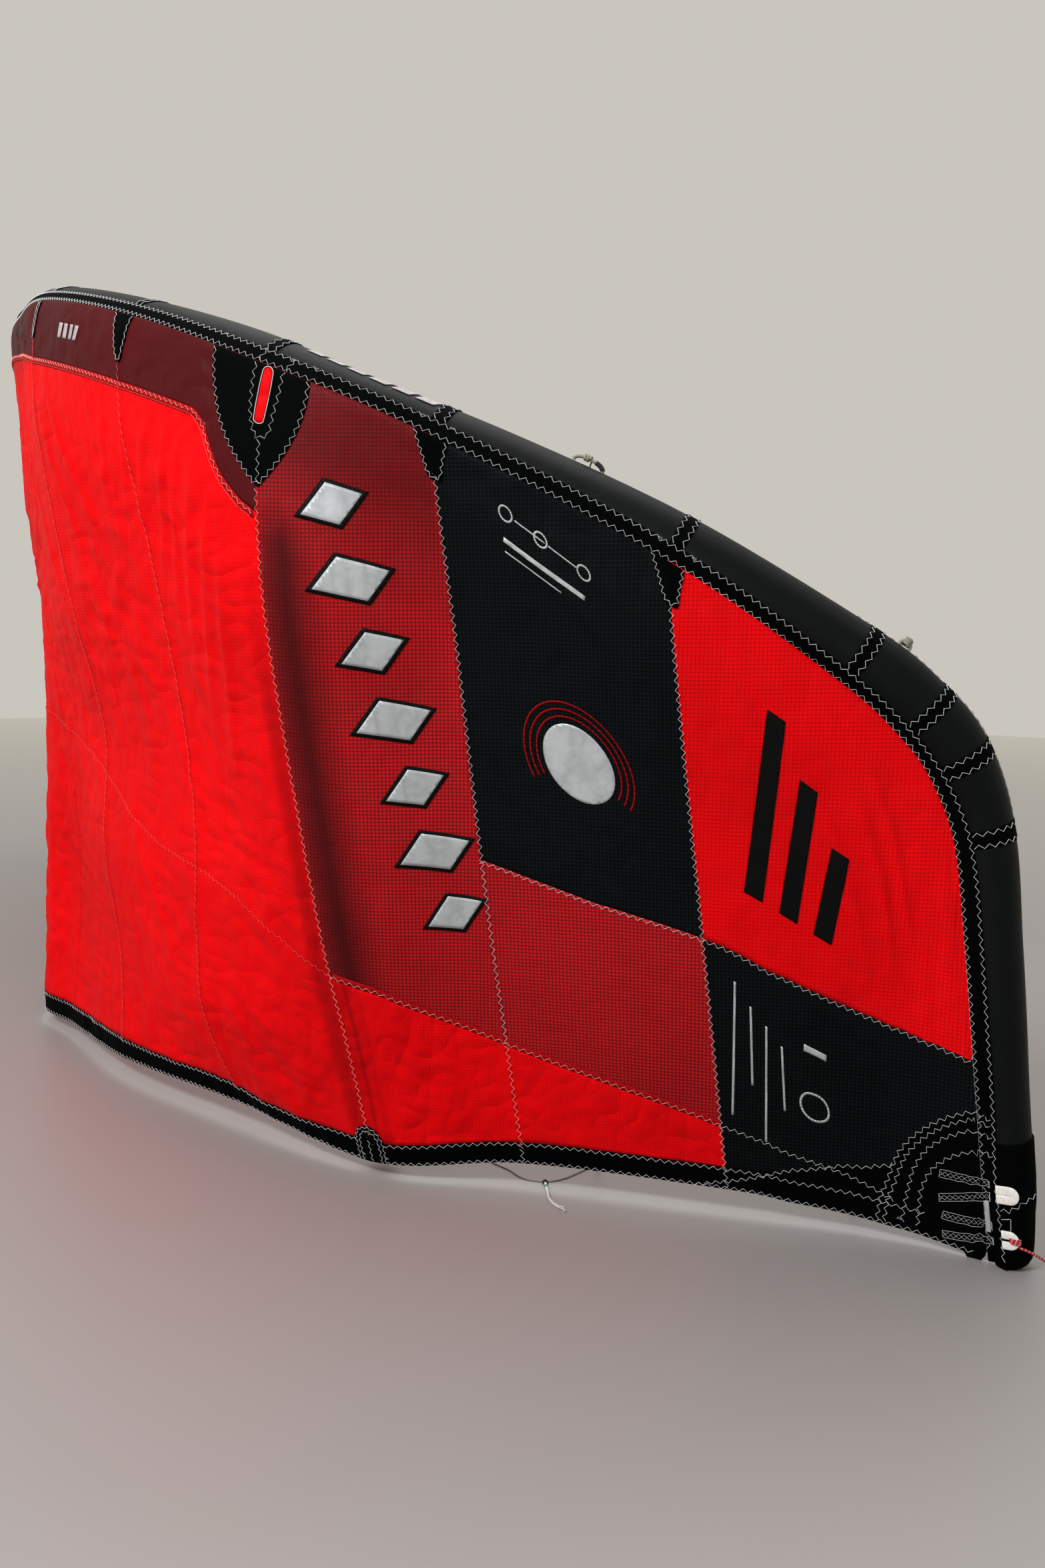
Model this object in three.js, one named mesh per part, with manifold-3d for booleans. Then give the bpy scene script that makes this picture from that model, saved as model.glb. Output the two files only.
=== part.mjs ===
// An inflated kitesurfing kite of about 7 square metres, standing on its two wing tips and on the
// end of its centre strut, with its leading edge up. Millimetres, +Z up, +X along the span,
// and -Y out of the canopy's outer face at the middle of the kite.

import * as THREE from 'three';
import { mergeVertices } from 'three/addons/utils/BufferGeometryUtils.js';
import Module from 'manifold-3d';

const wasm = await Module();
wasm.setup();

// Driving dimensions
const SHEET = 2;              // cloth thickness, canopy with its seam allowances
const GAP = 0.3;              // between pieces that touch
const HALF_GAP = GAP / 2;
const CENTRE_Y = 732.06;       // moves the origin to the middle of the footprint
const TUBE_SIDES = 12;
const STRUT_SIDES = 12;
const STRIP_WIDTH = 24;       // seam strip between canopy and leading edge tube
const EDGE_BAND = 35;         // trailing edge band
const TAB_LIFT = 0.6;         // patches lie this far above the canopy
const TAB_THICK = 1.4;
const STRUT_CLEAR = 2.1;      // struts lie this far under the cloth, which isn't tight on them
const LIP_FADE = 90;          // how far the canopy takes to leave the tube's roundness
const FRONT_ROWS = [14, 28, 45, 70];
const CORD_CLEAR = 0.1;       // a cord that lies on the ground is this far above it

// Colours
const RED = { color: '#d81420', roughness: 0.5, metalness: 0 };
const MAROON = { color: '#6e1a20', roughness: 0.5, metalness: 0 };
const BLACK = { color: '#15171a', roughness: 0.55, metalness: 0 };
const CHARCOAL = { color: '#1d2022', roughness: 0.6, metalness: 0 };
const WHITE = { color: '#e6e4df', roughness: 0.8, metalness: 0 };
const OLIVE = { color: '#8a8c7c', roughness: 0.8, metalness: 0 };
const GREY = { color: '#8d8884', roughness: 0.75, metalness: 0 };
const CORD_RED = { color: '#c8202c', roughness: 0.75, metalness: 0 };

// Reads a short table whose columns are named
function table(columns, rows) {
  const names = columns.split(' ');
  return rows.map((row) => Object.fromEntries(names.map((name, i) => [name, row[i]])));
}

// Canopy's front edge, the leading edge tube's radius, the angle on the tube at which the canopy
// leaves it, in degrees from its outer side, and the flat of the seam strip before the tube
const LEADING = table('station x y z radius leave flat', [
  ['centre', 0, -69, 1617, 76, 20, 0],
  ['billow', 200, -62, 1616, 75, 20, 0],
  ['crease', 398, -32, 1611, 74, 18, 0],
  ['seam1', 770, 40, 1582, 71, 26, 0],
  ['seam2', 1173, 198, 1492, 67, 30, 0],
  ['strut', 1458, 398, 1380, 64, 14, 0],
  ['seam3', 1594, 637, 1266, 60, 18, 0],
  ['seam4', 1735, 968, 1084, 57, -20, 0],
  ['tip1', 1812, 1219, 907, 56, -45, 4],
  ['tip2', 1837, 1308, 826, 54, -56, 8],
  ['tip3', 1849, 1355, 763, 51, -62, 11],
  ['tip4', 1857, 1395, 667, 44, -65, 13],
  ['tip5', 1861, 1420, 507, 39, -65, 13],
  ['tip6', 1867, 1443, 317, 36, -65, 13],
  ['tip7', 1871, 1463, 156, 33, -65, 13],
  ['corner', 1877, 1480, 14, 32, -65, 13],
]);

// Canopy's trailing edge at the same stations
const TRAILING = table('station x y z', [
  ['centre', 0, 0, 12],
  ['billow', 215, -32, 28],
  ['crease', 373, 38, 32],
  ['seam1', 703, 159, 47],
  ['seam2', 1052, 387, 50],
  ['strut', 1323, 597, 24],
  ['seam3', 1442, 842, 46],
  ['seam4', 1624, 1148, 45],
  ['tip1', 1676, 1234, 37],
  ['tip2', 1697, 1270, 34],
  ['tip3', 1711, 1292, 32],
  ['tip4', 1729, 1320, 29],
  ['tip5', 1762, 1362, 24],
  ['tip6', 1801, 1410, 17],
  ['tip7', 1840, 1447, 10],
  ['corner', 1872, 1477, 4],
]);

// How far the cloth stands out of the straight line between both edges, at tenths of the chord
const BULGE_AT = [0, 0.1, 0.25, 0.4, 0.55, 0.7, 0.85, 1];
const BULGE = table('station at10 at25 at40 at55 at70 at85', [
  ['centre', 0, -4, -20, -20, -8, 6],
  ['billow', -4, -12, -34, -34, -24, -12],
  ['crease', -2, -4, -8, -28, -44, -34],
  ['seam1', 33, 24, 0, -34, -8, -18],
  ['seam2', 34, 22, 9, 5, 30, 53],
  ['strut', 40, 70, 69, 61, 48, 22],
  ['seam3', 5, 5, 12, 18, 18, 8],
  ['seam4', 20, 25, 20, 10, 5, 3],
  ['tip1', 15, 20, 18, 10, 5, 2],
  ['tip2', 12, 16, 14, 8, 4, 2],
  ['tip3', 10, 14, 12, 8, 4, 2],
  ['tip4', 8, 10, 9, 6, 3, 1],
  ['tip5', 5, 6, 5, 4, 2, 1],
  ['tip6', 3, 3, 3, 2, 1, 0],
  ['tip7', 0, 0, 0, 0, 0, 0],
  ['corner', 0, 0, 0, 0, 0, 0],
]);

// Places along the span, as station numbers in the tables
const AT = { crease: 2, seam1: 3, seam2: 4, strut: 5, seam3: 6, seam4: 7, tip6: 13, tip7: 14, corner: 15 };

// Cross seams, as the share of the chord at each place along the span
const SCRIM_EDGE = table('u v', [
  [0, 0.067], [3, 0.069], [4, 0.074], [4.6, 0.074], [4.67, 0.086], [4.73, 0.116], [4.8, 0.138], [4.9, 0.154],
  [5, 0.162],
]);
const UPPER_SEAM = table('u v', [
  [6, 0.54], [6.5, 0.562], [7, 0.57], [8, 0.563], [9, 0.545], [10, 0.525], [10.6, 0.506], [11.5, 0.4],
  [12.3, 0.265], [13, 0.02],
]);
const LOWER_SEAM = table('u v', [[5, 0.73], [5.25, 0.742], [5.5, 0.766], [6, 0.811], [6.5, 0.853], [7, 0.889]]);

const V = (x, y, z) => new THREE.Vector3(x, y, z);

// Value of a table of seams between its rows
function along(seam, u) {
  const last = seam.length - 1;
  if (u >= seam[last].u) return seam[last].v;
  const i = Math.max(0, seam.findIndex((row) => row.u > u) - 1);
  const [a, b] = [seam[i], seam[i + 1]];
  return a.v + (b.v - a.v) * Math.max(0, (u - a.u) / (b.u - a.u));
}

// Rows of both tables as one list of numbers each, continued across the middle and past the corner
const STATIONS = LEADING.map((le, i) => {
  const te = TRAILING[i];
  const b = BULGE[i];
  return [le.x, le.y, le.z, te.x, te.y, te.z, 0, b.at10, b.at25, b.at40, b.at55, b.at70, b.at85, 0,
    le.radius, le.leave, le.flat];
});
const mirrored = (row) => row.map((value, k) => (k === 0 || k === 3 ? -value : value));
const beyond = STATIONS[AT.corner].map((value, k) => 2 * value - STATIONS[AT.corner - 1][k]);
const EXTENDED = [mirrored(STATIONS[2]), mirrored(STATIONS[1]), ...STATIONS, beyond];

// Smooth curve through all stations at place u of the span
function station(u) {
  const i = Math.min(Math.floor(u), AT.corner - 1);
  const t = u - i;
  const [a, b, c, d] = EXTENDED.slice(i + 1, i + 5);
  return b.map((_, k) => 0.5 * (2 * b[k] + (c[k] - a[k]) * t + (2 * a[k] - 5 * b[k] + 4 * c[k] - d[k]) * t * t
    + (3 * b[k] - a[k] - 3 * c[k] + d[k]) * t * t * t));
}

// Smooth curve through the bulges at share v of the chord
function bulge(values, v) {
  const knots = BULGE_AT;
  const last = knots.length - 1;
  const clamped = Math.min(Math.max(v, 0), 1);
  const slope = (j) => (values[j + 1] - values[j]) / (knots[j + 1] - knots[j]);
  const tangent = (j) => {
    if (j === 0) return slope(0);
    if (j === last) return slope(last - 1);
    const before = knots[j] - knots[j - 1];
    const after = knots[j + 1] - knots[j];
    return (slope(j) * before + slope(j - 1) * after) / (before + after);
  };
  const i = Math.min(last - 1, knots.findLastIndex((knot) => knot <= clamped));
  const h = knots[i + 1] - knots[i];
  const t = (clamped - knots[i]) / h;
  return (2 * t ** 3 - 3 * t * t + 1) * values[i] + (t ** 3 - 2 * t * t + t) * h * tangent(i)
    + (3 * t * t - 2 * t ** 3) * values[i + 1] + (t ** 3 - t * t) * h * tangent(i + 1);
}

// The cloth's roundness where it lies on the tube before it leaves it
function lip(radius, leave, distance) {
  const angle = THREE.MathUtils.degToRad(Math.max(leave, 0));
  const reach = radius * Math.sin(angle);
  if (distance < reach) return Math.sqrt(radius ** 2 - (reach - distance) ** 2) - radius * Math.cos(angle);
  return radius * (1 - Math.cos(angle)) * Math.exp(-(((distance - reach) / LIP_FADE) ** 2));
}

// Edges, span direction, chord direction and outward side at place u, for the half with X above 0
function section(u) {
  const row = station(u);
  const lead = V(row[0], row[1], row[2]);
  const trail = V(row[3], row[4], row[5]);
  const step = 0.02;
  const before = station(Math.max(u - step, 0));
  const after = station(u + step);
  const span = V(after[0] - before[0], after[1] - before[1], after[2] - before[2]).normalize();
  const chord = trail.clone().sub(lead);
  const out = span.clone().cross(chord).normalize();
  if (out.y > 0) out.negate();
  return { row, lead, trail, span, chord, out, length: chord.length() };
}

// A point of the canopy's outer face, at place u of the span and share v of the chord
function surface(u, v) {
  const { row, lead, chord, out, length } = section(Math.abs(u));
  const rise = bulge(row.slice(6, 14), v) + lip(row[14], row[15], Math.max(v, 0) * length);
  const point = lead.clone().addScaledVector(chord, v).addScaledVector(out, rise);
  if (u < 0) point.x = -point.x;
  return point;
}

// The canopy's outward direction there
function outward(u, v) {
  const du = 0.005;
  const dv = 0.002;
  const ahead = Math.min(u + du, AT.corner);
  const alongSpan = surface(ahead, v).sub(surface(u - du, v));
  const alongChord = surface(u, Math.min(v + dv, 1)).sub(surface(u, Math.max(v - dv, 0)));
  const normal = alongSpan.cross(alongChord).normalize();
  const reference = section(Math.abs(u)).out;
  if (u < 0) reference.x = -reference.x;
  return normal.dot(reference) < 0 ? normal.negate() : normal;
}

const chordLength = (u) => section(Math.abs(u)).length;
const bandTop = (u) => 1 - Math.min(EDGE_BAND / chordLength(u), 0.6);
const perMillimetre = (u, v) => 0.1 / surface(u + 0.05, v).distanceTo(surface(u - 0.05, v));

// A closed solid from a grid of points on its outer face and the matching grid on its inner face
function closedSheet(outer, inner) {
  const rows = outer.length;
  const columns = outer[0].length;
  const points = [...outer.flat(), ...inner.flat()];
  const half = rows * columns;
  const index = [];
  const quad = (a, b, c, d) => index.push(a, b, c, a, c, d);
  const at = (i, j) => i * columns + j;
  for (let i = 0; i + 1 < rows; i++) {
    for (let j = 0; j + 1 < columns; j++) {
      quad(at(i, j), at(i, j + 1), at(i + 1, j + 1), at(i + 1, j));
      quad(half + at(i, j), half + at(i + 1, j), half + at(i + 1, j + 1), half + at(i, j + 1));
    }
  }
  const rim = (a, b) => quad(b, a, half + a, half + b);
  for (let j = 0; j + 1 < columns; j++) {
    rim(at(0, j), at(0, j + 1));
    rim(at(rows - 1, j + 1), at(rows - 1, j));
  }
  for (let i = 0; i + 1 < rows; i++) {
    rim(at(i + 1, 0), at(i, 0));
    rim(at(i, columns - 1), at(i + 1, columns - 1));
  }
  return facingOut(points, index);
}

// A closed tube through rings of points, with a flat end on each
function closedTube(rings) {
  const sides = rings[0].length;
  const points = rings.flat();
  const index = [];
  for (let i = 0; i + 1 < rings.length; i++) {
    for (let j = 0; j < sides; j++) {
      const a = i * sides + j;
      const b = i * sides + ((j + 1) % sides);
      index.push(a, b, b + sides, a, b + sides, a + sides);
    }
  }
  for (const [ring, turn] of [[0, 1], [rings.length - 1, -1]]) {
    const middle = points.length;
    points.push(rings[ring].reduce((sum, p) => sum.add(p), V(0, 0, 0)).divideScalar(sides));
    for (let j = 0; j < sides; j++) {
      const a = ring * sides + j;
      const b = ring * sides + ((j + 1) % sides);
      index.push(...(turn > 0 ? [middle, b, a] : [middle, a, b]));
    }
  }
  return facingOut(points, index);
}

// Geometry of indexed triangles, turned so that its faces point out
function facingOut(points, index) {
  let volume = 0;
  for (let i = 0; i < index.length; i += 3) {
    const [a, b, c] = [points[index[i]], points[index[i + 1]], points[index[i + 2]]];
    volume += a.dot(b.clone().cross(c));
  }
  const geometry = new THREE.BufferGeometry();
  geometry.setAttribute('position', new THREE.Float32BufferAttribute(points.flatMap((p) => p.toArray()), 3));
  geometry.setIndex(volume < 0 ? index.map((_, i) => index[i - (i % 3) + [0, 2, 1][i % 3]]) : index);
  return geometry;
}

// The same piece on the other half of the kite
function otherSide(geometry) {
  const copy = geometry.clone();
  const position = copy.getAttribute('position');
  for (let i = 0; i < position.count; i++) position.setX(i, -position.getX(i));
  const index = Array.from(copy.getIndex().array);
  copy.setIndex(index.map((_, i) => index[i - (i % 3) + [0, 2, 1][i % 3]]));
  return copy;
}

// Cloth between two faces at given distances above the canopy's outer face; each row of the list
// is a function that gives the share of the chord at a place u
function cloth(columns, rows, low = -SHEET, high = 0) {
  const grid = (lift) => rows.map((row) => columns.map((u) => {
    const v = row(u);
    return surface(u, v).addScaledVector(outward(u, v), lift);
  }));
  return closedSheet(grid(high), grid(low));
}

// Places between two seams, with half a gap left at both
function columnsBetween(u0, u1, extra = []) {
  const inner = [...PLACES, ...PLACES.map((u) => -u), ...extra].filter((u) => u > u0 + 0.01 && u < u1 - 0.01);
  const columns = [...new Set(inner)].sort((a, b) => a - b);
  return [u0 + HALF_GAP * perMillimetre(u0, 0.5), ...columns, u1 - HALF_GAP * perMillimetre(u1, 0.5)];
}

// Rows from one cross seam to another, front rows first where the panel starts at the tube
function rowsBetween(start, end, count, fromTube = false) {
  const rows = [(u) => start(u) + HALF_GAP / chordLength(u)];
  if (fromTube) rows.push(...FRONT_ROWS.map((distance) => (u) => distance / chordLength(u)));
  const first = rows[rows.length - 1];
  const finish = (u) => end(u) - HALF_GAP / chordLength(u);
  for (let i = 1; i <= count; i++) rows.push((u) => first(u) + ((finish(u) - first(u)) * i) / count);
  return rows;
}

// Places of the tube's rings, which every piece that meets the tube also has
const PLACES = [0, 0.5, 1, 1.5, 2, 2.5, 3, 3.33, 3.67, 4, 4.33, 4.67, 5, 5.33, 5.67, 6, 6.33, 6.67, 7, 7.33, 7.67, 8,
  8.5, 9, 9.5, 10, 10.5, 11, 12, 12.9, 13, 14];
const TIP_TOP_END = 12.9;
const PATCH_PLACES = [4.6, 4.67, 4.73, 4.8, 4.9];

const front = () => 0;
const scrimEdge = (u) => along(SCRIM_EDGE, Math.abs(u));
const upperSeam = (u) => (u > TIP_TOP_END ? 0 : along(UPPER_SEAM, u));
const lowerSeam = (u) => along(LOWER_SEAM, u);

// Scrim band along the middle of the leading edge, from strut to strut, 1 mm short of both
function scrimBand() {
  const half = [...PLACES.filter((u) => u < 4.6), ...PATCH_PLACES, AT.strut - HALF_GAP * perMillimetre(AT.strut, 0.1)];
  const columns = [...half.slice(1).reverse().map((u) => -u), ...half];
  const rows = [front, ...FRONT_ROWS.map((distance) => (u) => distance / chordLength(u))];
  return cloth(columns, [...rows, (u) => scrimEdge(u) - HALF_GAP / chordLength(u)]);
}

// Red panels of the middle bays, from the scrim band to the trailing edge band
const middlePanel = () => cloth(columnsBetween(-AT.crease, AT.crease), rowsBetween(scrimEdge, bandTop, 9));
const bayPanel = (u0, u1, extra) => cloth(columnsBetween(u0, u1, extra), rowsBetween(scrimEdge, bandTop, 10));

const CORNER_PLACES = [14, 14.5, 14.95];

function panels() {
  return {
    bay1: [bayPanel(AT.crease, AT.seam1), RED],
    bay2: [bayPanel(AT.seam1, AT.seam2), RED],
    bay3: [bayPanel(AT.seam2, AT.strut, PATCH_PLACES), RED],
    bay4_top: [cloth(columnsBetween(AT.strut, AT.seam3), rowsBetween(front, lowerSeam, 6, true)), MAROON],
    bay4_low: [cloth(columnsBetween(AT.strut, AT.seam3), rowsBetween(lowerSeam, bandTop, 3)), RED],
    bay5_top: [cloth(columnsBetween(AT.seam3, AT.seam4), rowsBetween(front, upperSeam, 5, true)), BLACK],
    bay5_mid: [cloth(columnsBetween(AT.seam3, AT.seam4), rowsBetween(upperSeam, lowerSeam, 3)), MAROON],
    bay5_low: [cloth(columnsBetween(AT.seam3, AT.seam4), rowsBetween(lowerSeam, bandTop, 1)), RED],
    tip_top: [cloth(columnsBetween(AT.seam4, TIP_TOP_END), rowsBetween(front, upperSeam, 5)), RED],
    tip_low: [cloth([...columnsBetween(AT.seam4, AT.tip7, [TIP_TOP_END + 0.03]).slice(0, -1), ...CORNER_PLACES],
      rowsBetween(upperSeam, bandTop, 4)), BLACK],
  };
}

// Black band along the trailing edge
function edgeBand() {
  const places = PLACES.filter((u) => u !== 8.5 && u !== 9.5 && u !== 10.5);
  const columns = [...places, 4.85, 5.15, ...CORNER_PLACES.slice(1)].sort((a, b) => a - b);
  columns[0] = HALF_GAP * perMillimetre(0, 1);
  return cloth(columns, [(u) => bandTop(u) + HALF_GAP / chordLength(u), () => 1]);
}

// The tube's ring at place u: middle, radius and the two directions across it
function tubeRing(u) {
  const { row, lead, span, chord, out: face } = section(u);
  const [radius, leave, flat] = row.slice(14);
  const start = chord.clone().addScaledVector(face, row[7] / BULGE_AT[1]).normalize();
  const out = span.clone().cross(start).normalize();
  if (out.dot(face) < 0) out.negate();
  const up = start.clone().addScaledVector(span, -start.dot(span)).normalize().negate();
  const angle = THREE.MathUtils.degToRad(leave);
  const contact = lead.clone().addScaledVector(up, flat).addScaledVector(out, -SHEET);
  const radial = out.clone().multiplyScalar(Math.cos(angle)).addScaledVector(up, Math.sin(angle));
  const middle = contact.clone().addScaledVector(radial, -(radius + GAP));
  return { middle, radius, out, up, angle, flat, lead, span };
}

// Points of the tube around its middle, at its radius plus extra
function ringPoints(ring, extra = 0) {
  return Array.from({ length: TUBE_SIDES }, (_, i) => {
    const a = ring.angle + (2 * Math.PI * i) / TUBE_SIDES;
    const reach = ring.radius + extra;
    return ring.middle.clone()
      .addScaledVector(ring.out, reach * Math.cos(a))
      .addScaledVector(ring.up, reach * Math.sin(a));
  });
}

const CAP_START = 14.02;

// Leading edge tube of one half, from the middle of the kite to the tip cap
function leadingTube(extra = 0) {
  const rings = PLACES.map((u) => ringPoints(tubeRing(u), extra));
  rings[0].forEach((point) => {
    point.x = HALF_GAP - extra;
  });
  return closedTube(rings);
}

// Black end of the tube, which narrows towards the seam and is rounded where it stands
const CAP_PROFILE = table('height scale', [
  [90, 0.87], [62, 0.79], [42, 0.69], [26, 0.61], [14, 0.46], [5, 0.34], [0, 0.22],
]);
const CAP_ROUND = 30;         // height under which the cap's rings are level

// Place on the span at which the tube's middle is at that height in the cap
function capPlace(height) {
  const [top, bottom] = [tubeRing(AT.tip7).middle.z, tubeRing(AT.corner).middle.z];
  return Math.min(AT.corner, AT.tip7 + (top - height) / (top - bottom));
}

// Radius of the cap at that height, as a share of the tube's
function capScale(height) {
  const i = CAP_PROFILE.findIndex((row) => row.height <= height);
  if (i < 1) return 1;
  const [a, b] = [CAP_PROFILE[i - 1], CAP_PROFILE[i]];
  return b.scale + ((a.scale - b.scale) * (height - b.height)) / (a.height - b.height);
}

// The tube's ring there, narrowed but still touching the seam strip
function capRing(height, scale) {
  const ring = tubeRing(capPlace(height));
  const inset = ring.radius * (1 - scale);
  ring.middle.addScaledVector(ring.out, inset * Math.cos(ring.angle));
  ring.middle.addScaledVector(ring.up, inset * Math.sin(ring.angle));
  ring.radius *= scale;
  return ring;
}

function tipCap() {
  const rings = [ringPoints(tubeRing(CAP_START))];
  for (const { height, scale } of CAP_PROFILE) {
    const points = ringPoints(capRing(height, scale));
    rings.push(height > CAP_ROUND ? points : points.map((point) => point.setZ(height)));
  }
  return closedTube(rings);
}

// Strip that joins the canopy's front edge to the tube and wraps onto it
function seamStrip() {
  const places = [...PLACES, 14.5, 14.9];
  const distances = [0, 6, 12, 18, 24].map((d) => (d / 24) * STRIP_WIDTH);
  const face = (lift) => distances.map((distance) => places.map((u) => {
    const ring = tubeRing(u);
    const inPlane = (d) => {
      if (d <= ring.flat) return [-SHEET, d];
      const a = ring.angle + (d - ring.flat) / ring.radius;
      const [r, m] = [ring.radius + GAP, ring.angle];
      return [-SHEET + r * (Math.cos(a) - Math.cos(m)), ring.flat + r * (Math.sin(a) - Math.sin(m))];
    };
    const d = Math.max(distance, GAP);
    const [n, e] = inPlane(d);
    const [n0, e0] = inPlane(d - 3);
    const [n1, e1] = inPlane(d + 3);
    const across = Math.hypot(n1 - n0, e1 - e0);
    const [pn, pe] = [(e1 - e0) / across, (n0 - n1) / across];
    const point = ring.lead.clone().addScaledVector(ring.out, n + pn * lift).addScaledVector(ring.up, e + pe * lift);
    if (u === 0) point.x = HALF_GAP;
    return point;
  }));
  return closedSheet(face(SHEET), face(0.05));
}

// A patch sewn on the canopy round a chordwise seam: half its width at each distance from the tube
function patch(u, outline, fromTrailing = false) {
  const [low, high] = [TAB_LIFT, TAB_LIFT + TAB_THICK];
  const shares = [-1, -0.5, 0, 0.5, 1];
  const grid = (lift) => outline.map(({ distance, half }) => shares.map((share) => {
    const v = fromTrailing ? 1 - distance / chordLength(u) : distance / chordLength(u);
    const place = u + share * half * perMillimetre(u, v);
    return surface(place, v).addScaledVector(outward(place, v), lift);
  }));
  return closedSheet(grid(high), grid(low));
}

const NARROW_TAB = table('distance half', [[1, 10], [14, 10], [28, 9], [45, 8], [64, 6], [70, 3]]);
const WIDE_TAB = table('distance half', [[1, 22], [14, 20], [28, 17], [45, 13], [60, 8], [66, 3]]);
const STRUT_PATCH = table('distance half', [
  [1, 100], [14, 99], [28, 96], [45, 90], [70, 80], [105, 60], [140, 36], [165, 18], [184, 3],
]);
const STRUT_END_PATCH = table('distance half', [[1, 20], [16, 21], [35, 20], [48, 14], [55, 6]]);

// Struts: place on the span, radius at both ends and how far along the chord they reach
function strut(u, frontRadius, backRadius, reach, onGround) {
  const shares = [0, 0.03, 0.08, 0.15, 0.25, 0.37, 0.5, 0.63, 0.75, 0.85, 0.93, 0.975];
  const lift = SHEET + STRUT_CLEAR;
  const ring = (v, scale) => {
    const radius = (frontRadius + (backRadius - frontRadius) * Math.min(v, 1));
    const out = outward(u, Math.min(v, 0.999));
    const ahead = surface(u, v + 0.01).sub(surface(u, Math.max(v - 0.01, 0))).normalize();
    const side = ahead.clone().cross(out).normalize();
    const normal = side.clone().cross(ahead).normalize();
    const middle = surface(u, v).addScaledVector(normal, -(lift + radius));
    return Array.from({ length: STRUT_SIDES }, (_, i) => {
      const a = (2 * Math.PI * i) / STRUT_SIDES;
      return middle.clone()
        .addScaledVector(normal, radius * scale * Math.cos(a))
        .addScaledVector(side, radius * scale * Math.sin(a));
    });
  };
  const rings = shares.map((v) => ring(v, 1));
  rings.push(ring(reach - 0.006, 0.9), ring(reach - 0.002, 0.74), ring(reach, 0.5));
  if (onGround) rings[rings.length - 1].forEach((point) => point.setZ(0));
  return closedTube(rings);
}

// A solid for cutting and back
function solidOf(geometry) {
  const merged = mergeVertices(geometry, 1e-4);
  return new wasm.Manifold(new wasm.Mesh({
    numProp: 3,
    vertProperties: Float32Array.from(merged.getAttribute('position').array),
    triVerts: Uint32Array.from(merged.getIndex().array),
  }));
}

function geometryOf(solid) {
  const mesh = solid.getMesh();
  const geometry = new THREE.BufferGeometry();
  geometry.setAttribute('position', new THREE.BufferAttribute(Float32Array.from(mesh.vertProperties), 3));
  geometry.setIndex(new THREE.BufferAttribute(Uint32Array.from(mesh.triVerts), 1));
  return geometry;
}

// Strut trimmed to the leading edge tube
function trimmedStrut(u, frontRadius, backRadius, reach, onGround = false) {
  const tube = solidOf(leadingTube(GAP));
  let body = solidOf(strut(u, frontRadius, backRadius, reach, onGround)).subtract(tube);
  if (u === 0) body = body.subtract(solidOf(otherSide(leadingTube(GAP))));
  return geometryOf(body);
}

// Webbing loop, pressed flat: its two legs lie one above the other with a slit between them
const WEBBING_LOOP = { length: 40, height: 30, thick: 5, slit: 4, slitStart: 10, slitEnd: 30, start: -22 };

// Loop of white webbing that comes out from under the seam strip and lies on the tip cap
function webbingLoop(height) {
  const { length, height: tall, thick, slit, slitStart, slitEnd, start } = WEBBING_LOOP;
  const outline = new THREE.Shape();
  outline.moveTo(0, -tall / 2);
  outline.lineTo(length - tall / 2, -tall / 2);
  outline.absarc(length - tall / 2, 0, tall / 2, -Math.PI / 2, Math.PI / 2, false);
  outline.lineTo(0, tall / 2);
  const hole = new THREE.Path();
  hole.absarc(slitStart + slit / 2, 0, slit / 2, Math.PI / 2, (3 * Math.PI) / 2, false);
  hole.absarc(slitEnd - slit / 2, 0, slit / 2, -Math.PI / 2, Math.PI / 2, false);
  outline.holes.push(hole);
  const geometry = new THREE.ExtrudeGeometry(outline, { depth: thick, bevelEnabled: false, curveSegments: 6 });
  const ring = capRing(height, capScale(height));
  const higher = capRing(height + tall / 2, capScale(height + tall / 2));
  const clear = higher.middle.sub(ring.middle).dot(ring.out) + higher.radius + GAP;
  const origin = ring.middle.clone().addScaledVector(ring.out, clear).addScaledVector(ring.up, start);
  const across = ring.out.clone().cross(ring.up);
  geometry.applyMatrix4(new THREE.Matrix4().makeBasis(ring.up, across, ring.out).setPosition(origin));
  return geometry;
}

// A cord's line through hand-set points, which stays above the ground, with its steps closer where
// the points are closer
class CordLine extends THREE.CatmullRomCurve3 {
  constructor(points, lowest) {
    super(points);
    this.lowest = lowest;
  }

  getPoint(share, target) {
    const point = super.getPoint(share, target);
    return point.setZ(Math.max(point.z, this.lowest));
  }

  getPointAt(share, target) {
    return this.getPoint(share, target);
  }

  getTangentAt(share, target) {
    return this.getTangent(share, target);
  }
}

// Tube of cord along hand-set points
function cordAlong(points, diameter, stepsPerPoint = 2, sides = 8) {
  const outline = new THREE.Shape(Array.from({ length: sides }, (_, i) => {
    const a = (2 * Math.PI * (i + 0.5)) / sides;
    return new THREE.Vector2((diameter / 2) * Math.cos(a), (diameter / 2) * Math.sin(a));
  }));
  const extrudePath = new CordLine(points, diameter / 2 + CORD_CLEAR);
  const steps = stepsPerPoint * (points.length - 1);
  return new THREE.ExtrudeGeometry(outline, { steps, extrudePath, bevelEnabled: false });
}

// Rope loops on the leading edge that a bridle line is tied to: the places of both along the span,
// the side of the tube that they are on, in degrees from its outer side, and their shape
const ROPE_LOOP = { near: 6.56, far: 8.25, turn: 95, diameter: 6, reach: 24, height: 15 };

// Point over the tube at an angle from its outer side and a distance from its skin
function overTube(u, degrees, rise, along = 0) {
  const ring = tubeRing(u);
  const a = THREE.MathUtils.degToRad(degrees);
  const radial = ring.out.clone().multiplyScalar(Math.cos(a)).addScaledVector(ring.up, Math.sin(a));
  return ring.middle.clone().addScaledVector(radial, ring.radius + rise).addScaledVector(ring.span, along);
}

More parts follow.
